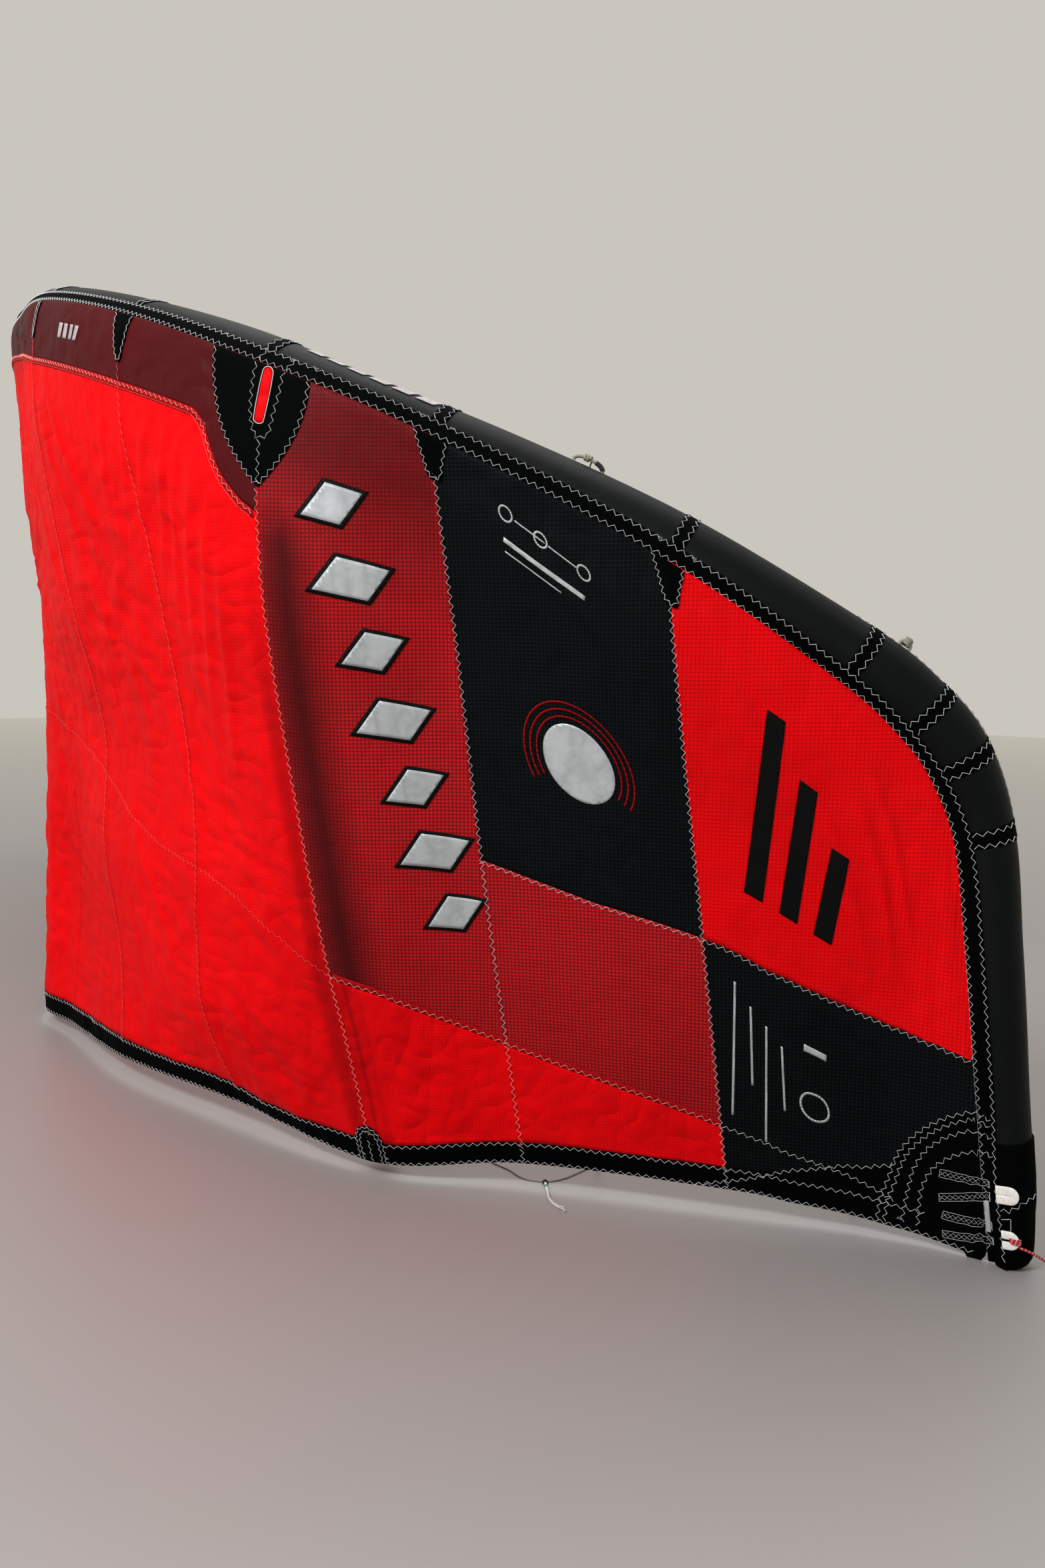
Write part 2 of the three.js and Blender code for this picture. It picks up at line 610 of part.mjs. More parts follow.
// Half of the loop's arch, as shares of its reach and height, and how far the tube's faces lie
// inside its true radius, less the gap
const ARCH = [[1, 0], [1, 0.35], [0.72, 0.8], [0, 1]];
const FACET_DIP = 0.3;

function ropeLoop(u) {
  const { turn, diameter, reach, height } = ROPE_LOOP;
  const other = ARCH.slice(0, -1).map(([across, up]) => [-across, up]);
  const points = [...other, ...ARCH.slice().reverse()]
    .map(([across, up]) => overTube(u, turn, height * up - FACET_DIP, across * reach));
  return cordAlong(points, diameter);
}

// Bridle line: from the near rope loop over the tube, hanging inside the canopy to the ground, out
// to the trailing edge and back, and up to the far rope loop
const BRIDLE_DIAMETER = 2.6;
const BRIDLE_WRAP = table('degrees rise', [[98.2, 15.5], [112, 11], [130, 4.5], [150, 2.6], [175, 2.6]]);
const BRIDLE_GROUND = [
  [1574, 907, 1033], [1559, 915, 795], [1536, 926, 531], [1509, 940, 314], [1477, 955, 160], [1441, 973, 63],
  [1405, 990, 16], [1375, 1000, 1.4], [1398, 960, 1.4], [1421, 921, 1.4], [1426, 888, 1.4], [1405, 853, 1.4],
  [1360, 836, 1.4], [1310, 812, 1.4], [1262, 818, 1.4], [1228, 865, 1.4], [1245, 945, 1.4], [1320, 1050, 1.4],
  [1430, 1190, 1.4], [1545, 1310, 1.4], [1600, 1350, 1.4], [1645, 1362, 1.4], [1670, 1358, 12], [1685, 1352, 50],
  [1697, 1345, 150], [1709, 1336, 350], [1722, 1325, 620], [1731, 1317, 790],
];

function bridleLine() {
  const over = (u) => BRIDLE_WRAP.map(({ degrees, rise }) => overTube(u, degrees, rise));
  const ground = BRIDLE_GROUND.map(([x, y, z]) => V(x, y, z));
  return cordAlong([...over(ROPE_LOOP.near), ...ground, ...over(ROPE_LOOP.far).reverse()], BRIDLE_DIAMETER);
}

// Short lengths of line with a knot at the end: one looped on the bridle line where it lies on the
// ground, one on the lower webbing loop at the tip
const BRIDLE_PIGTAIL = { diameter: 5, knot: 9 };
const BRIDLE_PIGTAIL_LINE = [
  [1427.2, 885, 2.6], [1450, 881, 2.6], [1473, 877, 2.6], [1497, 873, 2.6], [1517, 874, 2.6], [1537, 880, 2.6],
];
const TIP_PIGTAIL = { diameter: 4, knot: 9 };
const TIP_PIGTAIL_LINE = [
  [1927, 1495.4, 48.3], [1932.5, 1500.5, 46], [1936, 1510, 42], [1937, 1523, 35], [1936.5, 1536, 26.5],
  [1935, 1549, 17], [1933, 1563, 8], [1932, 1578, 2.5], [1935, 1593, 2.2], [1941, 1607, 2.2],
];

// Round knot that a line on the ground ends in, a gap behind its end
function knotAt(points, diameter) {
  const [before, end] = points.slice(-2);
  const ahead = end.clone().sub(before).normalize();
  const middle = end.clone().addScaledVector(ahead, diameter / 2 + GAP).setZ(diameter / 2);
  const knot = new THREE.IcosahedronGeometry(diameter / 2, 1);
  return knot.translate(middle.x, middle.y, middle.z);
}

const kite = new THREE.Group();
kite.position.set(0, -CENTRE_Y, 0);

function add(name, geometry, look) {
  const mesh = new THREE.Mesh(geometry, new THREE.MeshStandardMaterial(look));
  mesh.name = name;
  kite.add(mesh);
}

// Both halves of a piece, r on the side of +X
function addPair(name, geometry, look) {
  add(`${name}_r`, geometry, look);
  add(`${name}_l`, otherSide(mergeVertices(withPositionOnly(geometry), 1e-4)), look);
}

function withPositionOnly(geometry) {
  const copy = geometry.clone();
  copy.deleteAttribute('normal');
  copy.deleteAttribute('uv');
  return copy;
}

addPair('leading_tube', leadingTube(), CHARCOAL);
addPair('tip_cap', tipCap(), BLACK);
add('strut_middle', trimmedStrut(0, 52, 34, 1.0075, true), BLACK);
addPair('strut', trimmedStrut(AT.strut, 50, 33, 0.998), BLACK);
add('scrim_band', scrimBand(), MAROON);
add('panel_middle', middlePanel(), RED);
for (const [name, [geometry, look]] of Object.entries(panels())) addPair(`panel_${name}`, geometry, look);
addPair('edge_band', edgeBand(), BLACK);
addPair('seam_strip', seamStrip(), BLACK);
addPair('tab1', patch(AT.seam1, NARROW_TAB), BLACK);
addPair('tab2', patch(AT.seam2, NARROW_TAB), BLACK);
addPair('tab3', patch(AT.seam3, WIDE_TAB), BLACK);
addPair('tab4', patch(AT.seam4, WIDE_TAB), BLACK);
addPair('strut_patch', patch(AT.strut, STRUT_PATCH), BLACK);
addPair('strut_end_patch', patch(AT.strut, STRUT_END_PATCH, true), BLACK);
addPair('webbing_loop_high', webbingLoop(130), WHITE);
addPair('webbing_loop_low', webbingLoop(57), WHITE);
addPair('rope_loop1', ropeLoop(ROPE_LOOP.near), OLIVE);
addPair('rope_loop2', ropeLoop(ROPE_LOOP.far), OLIVE);
add('bridle_line', bridleLine(), GREY);
const bridlePigtail = BRIDLE_PIGTAIL_LINE.map(([x, y, z]) => V(x, y, z));
add('bridle_pigtail', cordAlong(bridlePigtail, BRIDLE_PIGTAIL.diameter), WHITE);
add('bridle_knot', knotAt(bridlePigtail, BRIDLE_PIGTAIL.knot), WHITE);
const tipPigtail = TIP_PIGTAIL_LINE.map(([x, y, z]) => V(x, y, z));
add('tip_pigtail', cordAlong(tipPigtail, TIP_PIGTAIL.diameter), CORD_RED);
add('tip_knot', knotAt(tipPigtail, TIP_PIGTAIL.knot), CORD_RED);

export default kite;
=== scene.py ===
import itertools
import math

import bmesh
import bpy
import numpy as np
from mathutils import Matrix, Vector


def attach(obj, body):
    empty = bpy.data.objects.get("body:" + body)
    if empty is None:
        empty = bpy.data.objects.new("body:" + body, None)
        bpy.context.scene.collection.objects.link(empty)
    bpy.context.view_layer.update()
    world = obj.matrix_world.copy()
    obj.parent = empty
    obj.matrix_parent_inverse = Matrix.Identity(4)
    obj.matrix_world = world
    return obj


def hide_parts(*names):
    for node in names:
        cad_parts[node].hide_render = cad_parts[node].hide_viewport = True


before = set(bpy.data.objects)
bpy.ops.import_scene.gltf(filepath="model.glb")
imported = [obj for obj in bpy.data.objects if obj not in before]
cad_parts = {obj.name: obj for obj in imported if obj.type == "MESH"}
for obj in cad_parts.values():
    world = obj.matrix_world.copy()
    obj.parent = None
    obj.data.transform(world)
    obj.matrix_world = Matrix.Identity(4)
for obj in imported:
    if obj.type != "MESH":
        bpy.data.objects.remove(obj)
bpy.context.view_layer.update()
scene = bpy.context.scene

# Camera
CENTRE_Y = 0.73206
CAMERA_PLACE = (3.7119, 0.2191 - CENTRE_Y, 1.0153)
CAMERA_AZIMUTH, CAMERA_PITCH, CAMERA_ROLL = (math.radians(x) for x in (74.954, 7.2736, 0.8294))
CAMERA_LENS = 32.26


def make_camera():
    level = Vector((math.cos(CAMERA_AZIMUTH), math.sin(CAMERA_AZIMUTH), 0))
    ahead = Vector((-math.sin(CAMERA_AZIMUTH), math.cos(CAMERA_AZIMUTH), 0))
    forward = ahead * math.cos(CAMERA_PITCH) - Vector((0, 0, math.sin(CAMERA_PITCH)))
    above = level.cross(forward)
    right = level * math.cos(CAMERA_ROLL) + above * math.sin(CAMERA_ROLL)
    up = above * math.cos(CAMERA_ROLL) - level * math.sin(CAMERA_ROLL)
    camera = bpy.data.objects.new("camera", bpy.data.cameras.new("camera"))
    scene.collection.objects.link(camera)
    turned = Matrix((right, up, -forward)).transposed().to_4x4()
    camera.matrix_world = Matrix.Translation(CAMERA_PLACE) @ turned
    camera.data.lens = CAMERA_LENS
    scene.camera = camera


make_camera()

# Sizes that the solids have too
SHEET = 0.002
GAP = 0.0003
STRIP_WIDTH = 0.024
LIP_FADE = 0.09
CORD_CLEAR = 0.0001

# Canopy's front edge and trailing edge, the tube's radius, the angle on the tube at which the
# canopy leaves it, and the flat of the seam strip before the tube
EDGES = np.array([
    (0, -.069, 1.617, 0, 0, .012, .076, 20, 0),
    (.2, -.062, 1.616, .215, -.032, .028, .075, 20, 0),
    (.398, -.032, 1.611, .373, .038, .032, .074, 18, 0),
    (.77, .04, 1.582, .703, .159, .047, .071, 26, 0),
    (1.173, .198, 1.492, 1.052, .387, .05, .067, 30, 0),
    (1.458, .398, 1.38, 1.323, .597, .024, .064, 14, 0),
    (1.594, .637, 1.266, 1.442, .842, .046, .06, 18, 0),
    (1.735, .968, 1.084, 1.624, 1.148, .045, .057, -20, 0),
    (1.812, 1.219, .907, 1.676, 1.234, .037, .056, -45, .004),
    (1.837, 1.308, .826, 1.697, 1.27, .034, .054, -56, .008),
    (1.849, 1.355, .763, 1.711, 1.292, .032, .051, -62, .011),
    (1.857, 1.395, .667, 1.729, 1.32, .029, .044, -65, .013),
    (1.861, 1.42, .507, 1.762, 1.362, .024, .039, -65, .013),
    (1.867, 1.443, .317, 1.801, 1.41, .017, .036, -65, .013),
    (1.871, 1.463, .156, 1.84, 1.447, .01, .033, -65, .013),
    (1.877, 1.48, .014, 1.872, 1.477, .004, .032, -65, .013),
])
SEAM1, SEAM2, STRUT, SEAM3, SEAM4, TIP7, CORNER = 3, 4, 5, 6, 7, 14, 15

# How far the cloth stands out of the straight line between both edges, at shares of the chord
BULGE_AT = np.array([0, .1, .25, .4, .55, .7, .85, 1])
BULGE = np.array([
    (0, -.004, -.02, -.02, -.008, .006),
    (-.004, -.012, -.034, -.034, -.024, -.012),
    (-.002, -.004, -.008, -.028, -.044, -.034),
    (.033, .024, 0, -.034, -.008, -.018),
    (.034, .022, .009, .005, .03, .053),
    (.04, .07, .069, .061, .048, .022),
    (.005, .005, .012, .018, .018, .008),
    (.02, .025, .02, .01, .005, .003),
    (.015, .02, .018, .01, .005, .002),
    (.012, .016, .014, .008, .004, .002),
    (.01, .014, .012, .008, .004, .002),
    (.008, .01, .009, .006, .003, .001),
    (.005, .006, .005, .004, .002, .001),
    (.003, .003, .003, .002, .001, 0),
    (0, 0, 0, 0, 0, 0),
    (0, 0, 0, 0, 0, 0),
])

# Cross seams, as rows of u and v
SCRIM_EDGE = np.array([
    (0, .036), (1, .036), (1.5, .04), (2, .046), (2.5, .056), (2.75, .063), (3, .068), (4, .074),
    (4.6, .074), (4.67, .086), (4.73, .116), (4.8, .138), (4.9, .154), (5, .162),
])
UPPER_SEAM = np.array([
    (6, .54), (6.5, .562), (7.02, .567), (7.46, .573), (7.78, .564), (8.11, .559), (8.61, .553),
    (9.6, .538), (10.1, .524), (10.59, .506), (10.93, .483), (11.26, .455), (11.52, .421),
    (11.76, .385), (12.03, .329), (12.29, .265), (12.46, .21), (12.62, .149), (12.75, .096),
    (12.87, .04), (12.95, .005),
])
LOWER_SEAM = np.array([(5, .73), (5.25, .742), (5.5, .766), (6, .811), (6.5, .853), (7, .889)])
CURVED_SEAM = np.array([
    (0, .53), (1.73, .548), (2.42, .571), (2.9, .595), (3.19, .619), (3.4, .644), (3.67, .661),
    (4, .666), (4.38, .674), (5.04, .73),
])
LOWER_CONTINUED = np.array([
    (7, .886), (7.27, .895), (7.7, .898), (8.35, .901), (9.87, .902), (11, .901), (11.67, .9), (12.1, .9),
])


def unit(vectors):
    return vectors / np.linalg.norm(vectors, axis=-1, keepdims=True)


def dot(a, b):
    return np.sum(a * b, axis=-1, keepdims=True)


def build_stations():
    rows = np.zeros((len(EDGES), 17))
    rows[:, 0:6] = EDGES[:, 0:6]
    rows[:, 7:13] = BULGE
    rows[:, 14:17] = EDGES[:, 6:9]
    rows[:, [1, 4]] -= CENTRE_Y
    mirrored = rows[2:0:-1].copy()
    mirrored[:, [0, 3]] *= -1
    return np.vstack([mirrored, rows, 2 * rows[-1] - rows[-2]])


STATIONS = build_stations()
SPAN_STEP = 0.02
# Metres of the seam strip for each step of u past the tip, and how wide the trailing edge's band looks
LAST_STEP = 0.14
EDGE_BAND = 0.043


def station(u):
    """Smooth curve through all rows of the tables, at places u that aren't below 0."""
    place = np.minimum(np.floor(u).astype(int), CORNER - 1)
    t = (u - place)[..., None]
    a, b, c, d = (STATIONS[place + k] for k in range(1, 5))
    bend = (2 * a - 5 * b + 4 * c - d) * t**2 + (3 * b - a - 3 * c + d) * t**3
    return 0.5 * (2 * b + (c - a) * t + bend)


def bulge(values, v):
    """Smooth curve through the bulges at share v of the chord."""
    v = np.clip(v, 0, 1)
    widths = np.diff(BULGE_AT)
    slopes = np.diff(values, axis=-1) / widths
    inner = (slopes[..., 1:] * widths[:-1] + slopes[..., :-1] * widths[1:]) / (widths[:-1] + widths[1:])
    tangents = np.concatenate([slopes[..., :1], inner, slopes[..., -1:]], axis=-1)
    knot = np.clip(np.searchsorted(BULGE_AT, v, side="right") - 1, 0, len(widths) - 1)
    pick = lambda array, k: np.take_along_axis(array, k[..., None], -1)[..., 0]
    h = widths[knot]
    t = (v - BULGE_AT[knot]) / h
    return (
        (2 * t**3 - 3 * t**2 + 1) * pick(values, knot)
        + (t**3 - 2 * t**2 + t) * h * pick(tangents, knot)
        + (3 * t**2 - 2 * t**3) * pick(values, knot + 1)
        + (t**3 - t**2) * h * pick(tangents, knot + 1)
    )


def lip(radius, leave, distance):
    """The cloth's roundness where it lies on the tube before it leaves it."""
    angle = np.radians(np.maximum(leave, 0))
    reach = radius * np.sin(angle)
    on_tube = np.sqrt(np.maximum(radius**2 - (reach - distance) ** 2, 0)) - radius * np.cos(angle)
    off_tube = radius * (1 - np.cos(angle)) * np.exp(-(((distance - reach) / LIP_FADE) ** 2))
    return np.where(distance < reach, on_tube, off_tube)


def section(u):
    """Table row, front edge, chord, span direction and outward side at places u."""
    beyond = np.maximum(np.abs(np.asarray(u, float)) - CORNER, 0)
    u = np.minimum(np.abs(np.asarray(u, float)), CORNER)
    row = station(u)
    lead = row[..., 0:3]
    chord = row[..., 3:6] - lead
    span = unit(station(u + SPAN_STEP)[..., 0:3] - station(np.maximum(u - SPAN_STEP, 0))[..., 0:3])
    out = unit(np.cross(span, chord))
    lead = lead + span * (beyond * LAST_STEP)[..., None]
    return row, lead, chord, span, np.where(out[..., 1:2] > 0, -out, out)


def on_side(points, u):
    """The points on the half of the kite that u is on."""
    points = np.array(points)
    points[..., 0] *= np.where(np.asarray(u) < 0, -1, 1)
    return points


def bare_surface(u, v):
    u, v = np.broadcast_arrays(np.asarray(u, float), np.asarray(v, float))
    row, lead, chord, _, out = section(u)
    length = np.linalg.norm(chord, axis=-1)
    rise = bulge(row[..., 6:14], v) + lip(row[..., 14], row[..., 15], np.maximum(v, 0) * length)
    return on_side(lead + chord * v[..., None] + out * rise[..., None], u)


def outward(u, v):
    u, v = np.broadcast_arrays(np.asarray(u, float), np.asarray(v, float))
    place = np.abs(u)
    across = bare_surface(np.minimum(place + 0.005, CORNER), v) - bare_surface(place - 0.005, v)
    down = bare_surface(place, np.minimum(v + 0.002, 1)) - bare_surface(place, np.maximum(v - 0.002, 0))
    normal = unit(np.cross(across, down))
    normal = np.where(dot(normal, section(place)[4]) < 0, -normal, normal)
    return on_side(normal, u)


def chord_length(u):
    return np.linalg.norm(section(u)[2], axis=-1)


def band_top(u):
    return 1 - np.minimum(EDGE_BAND / chord_length(u), 0.6)


def per_metre(u, v):
    """How much u changes over a metre across the cloth."""
    u = np.abs(u)
    return 0.1 / np.linalg.norm(bare_surface(u + 0.05, v) - bare_surface(u - 0.05, v), axis=-1)


def seam(rows):
    return lambda u: np.interp(np.abs(u), rows[:, 0], rows[:, 1])


scrim_edge = seam(SCRIM_EDGE)
lower_seam = seam(LOWER_SEAM)
TIP_TOP_END = 12.9


def upper_seam(u):
    return np.where(np.abs(u) > TIP_TOP_END, 0, np.interp(np.abs(u), UPPER_SEAM[:, 0], UPPER_SEAM[:, 1]))


# Lengths along both edges at fine places of the span, so that a pattern keeps its scale
FINE = np.linspace(0, CORNER, 601)


def lengths_along(v):
    steps = np.linalg.norm(np.diff(bare_surface(FINE, v), axis=0), axis=1)
    return np.concatenate([[0], np.cumsum(steps)])


LEAD_LENGTHS = lengths_along(0.0)
MIDDLE_LENGTHS = lengths_along(0.4)
TRAIL_LENGTHS = lengths_along(1.0)


def span_length(u):
    return np.sign(u) * np.interp(np.abs(u), FINE, MIDDLE_LENGTHS)


def span_place(length):
    return np.sign(length) * np.interp(np.abs(length), MIDDLE_LENGTHS, FINE)


def cut_plan(u, v):
    """Where a place is on the cloth laid flat: metres along the span and down the chord."""
    place = np.abs(u)
    lead = np.interp(place, FINE, LEAD_LENGTHS)
    trail = np.interp(place, FINE, TRAIL_LENGTHS)
    return np.where(np.asarray(u) < 0, -1, 1) * (lead * (1 - v) + trail * v), v * chord_length(u)


# Smooth random values in space, the same at each run
SHUFFLE = np.random.default_rng(11).permutation(256)
SLOPES = unit(np.random.default_rng(12).normal(size=(256, 3)))


def random_field(x, y, z=0.0):
    points = np.stack(np.broadcast_arrays(x, y, z), axis=-1).astype(float)
    cell = np.floor(points).astype(int)
    within = points - cell
    fade = within**3 * (within * (within * 6 - 15) + 10)
    total = 0
    for corner in itertools.product((0, 1), repeat=3):
        key = 0
        for axis in range(3):
            key = SHUFFLE[(key + cell[..., axis] + corner[axis]) % 256]
        weight = np.prod(np.where(np.array(corner) == 1, fade, 1 - fade), axis=-1)
        total = total + weight * np.sum(SLOPES[key] * (within - np.array(corner)), axis=-1)
    return total


def creases(x, y, layer):
    """Sharp folds where a random field changes its sign, from -1 to about 0."""
    return -2 * np.abs(random_field(x, y, layer))


def bump(value, middle, width):
    return np.exp(-(((value - middle) / width) ** 2))


# Long folds on the canopy: from u, v to u, v, width and height
FOLDS = [
    (4.78, .17, 4.5, .55, .014, .006),
    (4.7, .14, 4.32, .5, .013, .006),
    (4.6, .11, 4.2, .45, .016, .006),
    (4.5, .09, 4.1, .40, .012, .005),
    (4.4, .09, 4.02, .34, .011, .005),
    (4.25, .09, 3.9, .28, .012, .004),
    (4.05, .085, 3.75, .3, .010, .004),
    (3.85, .085, 3.62, .26, .010, .004),
    (3.2, .08, 3.6, .34, .013, .006),
    (3.05, .09, 3.4, .42, .012, .005),
    (3.6, .4, 4.2, .62, .014, .004),
    (3.3, .62, 3.9, .86, .016, .005),
    (3.75, .6, 4.35, .9, .018, .005),
    (2.5, .1, 2.95, .45, .012, .005),
    (5.35, .12, 5.8, .22, .02, .004),
    (5.3, .2, 5.75, .34, .018, .003),
    (6.15, .04, 6.85, .2, .02, .004),
    (6.3, .03, 6.9, .12, .014, .003),
    (7.15, .06, 8.3, .3, .014, .004),
    (7.5, .08, 10.4, .42, .014, .005),
    (7.9, .05, 10.9, .34, .012, .004),
    (7.2, .16, 9.6, .5, .014, .003),
    (7.4, .62, 8.6, .8, .014, .004),
    (7.6, .72, 10, .84, .012, .004),
]
HEM_WAVE = 0.012


def fold(u, v, start_u, start_v, end_u, end_v, width, height):
    """A soft ridge along a line, which fades at both ends."""
    middle = (start_v + end_v) / 2
    scale = np.array([1 / per_metre((start_u + end_u) / 2, middle), chord_length((start_u + end_u) / 2)])
    line = np.array([end_u - start_u, end_v - start_v]) * scale
    x = (np.abs(u) - start_u) * scale[0]
    y = (v - start_v) * scale[1]
    along = (x * line[0] + y * line[1]) / np.sum(line**2)
    across = (x * line[1] - y * line[0]) / np.linalg.norm(line)
    ends = np.clip(along * 3, 0, 1) * np.clip((1 - along) * 3, 0, 1)
    return height * ends * np.exp(-((across / width) ** 2))


def relief(u, v):
    """How far the crumpled cloth stands off the smooth canopy, outwards."""
    u, v = np.broadcast_arrays(np.asarray(u, float), np.asarray(v, float))
    x, y = cut_plan(u, v)
    place = np.abs(u)
    loose = np.clip((STRUT - 0.02 - place) / 0.25, 0, 1)
    warp = 0.35 * random_field(x * 4, y * 4, 4.5)
    patchy = 0.45 + 1.5 * np.clip(random_field(x * 3, y * 3, 5.5) + 0.25, 0, 1)
    crumple = 0.0042 * creases(x * 7 + y * 3 + warp, y * 5 - warp, 1.5)
    crumple = crumple + 0.0042 * creases(x * 13 - y * 9, y * 12 + x * 5 + warp, 2.5)
    crumple = crumple + 0.003 * creases(x * 27 + y * 14, y * 25 - x * 10, 3.5)
    taut = 0.0022 * random_field(x * 5 + y * 2, y * 9 - x * 4, 7.5) + 0.001 * creases(x * 14, y * 20, 8.5)
    height = loose * patchy * (crumple + 0.0015) + (1 - loose) * taut
    for line in (0, SEAM1, SEAM2, STRUT, SEAM3, SEAM4):
        away = (place - line) / float(per_metre(np.array(line + 0.01), 0.5))
        height = height * (1 - 0.8 * bump(away, 0, 0.02))
        height = height + 0.0018 * random_field(y * 38, x * 6, line + 0.5) * bump(away, 0.004, 0.018)
        height = height + 0.0011 * bump(away, 0, 0.005)
    for row in FOLDS:
        height = height + fold(u, v, *row)
    depth = v * chord_length(u)
    to_edge = (1 - v) * chord_length(u)
    sewn_down = bump(depth - scrim_edge(u) * chord_length(u), 0.006, 0.012) * (place < STRUT)
    height = height * (1 - 0.6 * sewn_down)
    hem = HEM_WAVE * loose * random_field(x * 7, y * 3, 9.5) + 0.0012 * random_field(x * 22, y * 6, 9.9)
    near_tube = 0.0016 * random_field(x * 22, y * 4, 10.5) * bump(depth, 0.03, 0.035)
    height = height + hem * bump(to_edge, 0.01, 0.07) + near_tube
    return height * np.clip(depth / 0.03, 0, 1) * np.clip(to_edge / 0.01, 0.3, 1)


def canopy(u, v, lift=0.0):
    """Points on the canopy's outer face with its creases."""
    u, v = np.broadcast_arrays(np.asarray(u, float), np.asarray(v, float))
    points = bare_surface(u, v) + outward(u, v) * (relief(u, v) + lift)[..., None]
    points[..., 2] = np.maximum(points[..., 2], 0)
    return points


def tube_ring(u):
    """The leading edge tube's ring at places u."""
    row, lead, chord, span, face = section(u)
    start = unit(chord + face * (row[..., 7:8] / BULGE_AT[1]))
    out = unit(np.cross(span, start))
    out = np.where(dot(out, face) < 0, -out, out)
    up = -unit(start - span * dot(start, span))
    radius, angle, flat = row[..., 14:15], np.radians(row[..., 15:16]), row[..., 16:17]
    radial = out * np.cos(angle) + up * np.sin(angle)
    middle = lead + up * flat - out * SHEET - radial * (radius + GAP)
    return {"middle": middle, "radius": radius, "out": out, "up": up, "angle": angle, "flat": flat,
            "lead": lead, "span": span}


BAND_PLACES = (0, 3, 4, 5, 6, 7, 8, 9, 10, 11)
TUBE_TOP_Z, TUBE_LOW_Z = (float(tube_ring(float(u))["middle"][2]) for u in (TIP7, CORNER))


def place_at(height):
    """The place along the span where the tube's middle is at a height, near the tip."""
    return TIP7 + (TUBE_TOP_Z - height) / (TUBE_TOP_Z - TUBE_LOW_Z)


def tube_relief(u, degrees):
    """Puckers that run along the tube from each band, and a slight swell between the bands."""
    place = np.abs(u)
    length = np.interp(place, FINE, LEAD_LENGTHS)
    bands = np.interp(BAND_PLACES, FINE, LEAD_LENGTHS)
    away = np.min(np.abs(length[..., None] - bands), axis=-1)
    around = np.radians(degrees)
    half = np.where(np.asarray(u) < 0, 40, 0)
    ripple = random_field(5 * np.cos(around), 5 * np.sin(around), length * 6 + half)
    slack = random_field(2 * np.cos(around), 2 * np.sin(around), length * 2.5)
    return 0.0011 * ripple * np.exp(-away / 0.05) + 0.0006 * slack - 0.0009 * np.exp(-away / 0.02)


def tube_skin(u, degrees, lift=0.0):
    """Points on the tube, at angles from its outer side."""
    u, degrees = np.broadcast_arrays(np.asarray(u, float), np.asarray(degrees, float))
    ring = tube_ring(u)
    angle = np.radians(degrees)[..., None]
    radial = ring["out"] * np.cos(angle) + ring["up"] * np.sin(angle)
    reach = ring["radius"] + (tube_relief(u, degrees) + lift)[..., None]
    return on_side(ring["middle"] + radial * reach, u)


def over_tube(u, degrees, rise, along=0.0):
    ring = tube_ring(float(u))
    angle = math.radians(degrees)
    radial = ring["out"] * math.cos(angle) + ring["up"] * math.sin(angle)
    return ring["middle"] + radial * (ring["radius"] + rise) + ring["span"] * along


def strip_width(u):
    """The seam strip is wider at the tip."""
    return np.interp(np.abs(u), (9.5, 11.5, 14, 14.7), (STRIP_WIDTH, 0.034, 0.035, 0.042))


def strip_skin(u, distance, lift=0.0):
    """Points on the seam strip, at distances from the canopy's front edge."""
    u, distance = np.broadcast_arrays(np.asarray(u, float), np.asarray(distance, float))
    ring = tube_ring(u)
    flat, angle, radius = ring["flat"][..., 0], ring["angle"][..., 0], ring["radius"][..., 0] + GAP

    def in_plane(d):
        turned = angle + (d - flat) / radius
        level = d <= flat
        out = np.where(level, 0, radius * (np.cos(turned) - np.cos(angle))) - SHEET
        up = np.where(level, d, flat + radius * (np.sin(turned) - np.sin(angle)))
        return out, up

    out, up = in_plane(distance)
    (out0, up0), (out1, up1) = in_plane(distance - 0.003), in_plane(distance + 0.003)
    across = np.hypot(out1 - out0, up1 - up0)
    rise_out, rise_up = (up1 - up0) / across, (out0 - out1) / across
    point = ring["lead"] + ring["out"] * (out + rise_out * lift)[..., None]
    point = point + ring["up"] * (up + rise_up * lift)[..., None]
    point[..., 2] = np.maximum(point[..., 2], GAP)
    return on_side(point, u)


# Pieces


def finish_mesh(name, bm, material, replaces=(), smooth=True, points_uv=None):
    """Makes a piece that rides on the kite from a bmesh."""
    mesh = bpy.data.meshes.new(name)
    bm.to_mesh(mesh)
    bm.free()
    mesh.materials.append(material)
    if points_uv is not None:
        corners = np.empty(len(mesh.loops), int)
        mesh.loops.foreach_get("vertex_index", corners)
        layer = mesh.uv_layers.new(name="cut")
        layer.data.foreach_set("uv", np.asarray(points_uv, np.float32)[corners].ravel())
    if smooth:
        mesh.shade_smooth()
    piece = bpy.data.objects.new(name, mesh)
    scene.collection.objects.link(piece)
    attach(piece, "root")
    if replaces:
        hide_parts(*replaces)
    return piece


def lay_places(bm, places):
    """Keeps each vertex's place on its cloth or cord, in metres, for the weave and the braid."""
    layer = bm.loops.layers.uv.new("cut")
    bm.verts.index_update()
    for face in bm.faces:
        for loop in face.loops:
            loop[layer].uv = places[loop.vert.index]


def grid(bm, columns, rows):
    """A flat grid of the unit square, and its vertices' places in it."""
    made = bmesh.ops.create_grid(bm, x_segments=columns, y_segments=rows, size=0.5)["verts"]
    flat = np.array([vertex.co[:2] for vertex in made]) + 0.5
    return made, flat[:, 0], flat[:, 1]


def move(vertices, points):
    for vertex, point in zip(vertices, np.asarray(points)):
        vertex.co = point


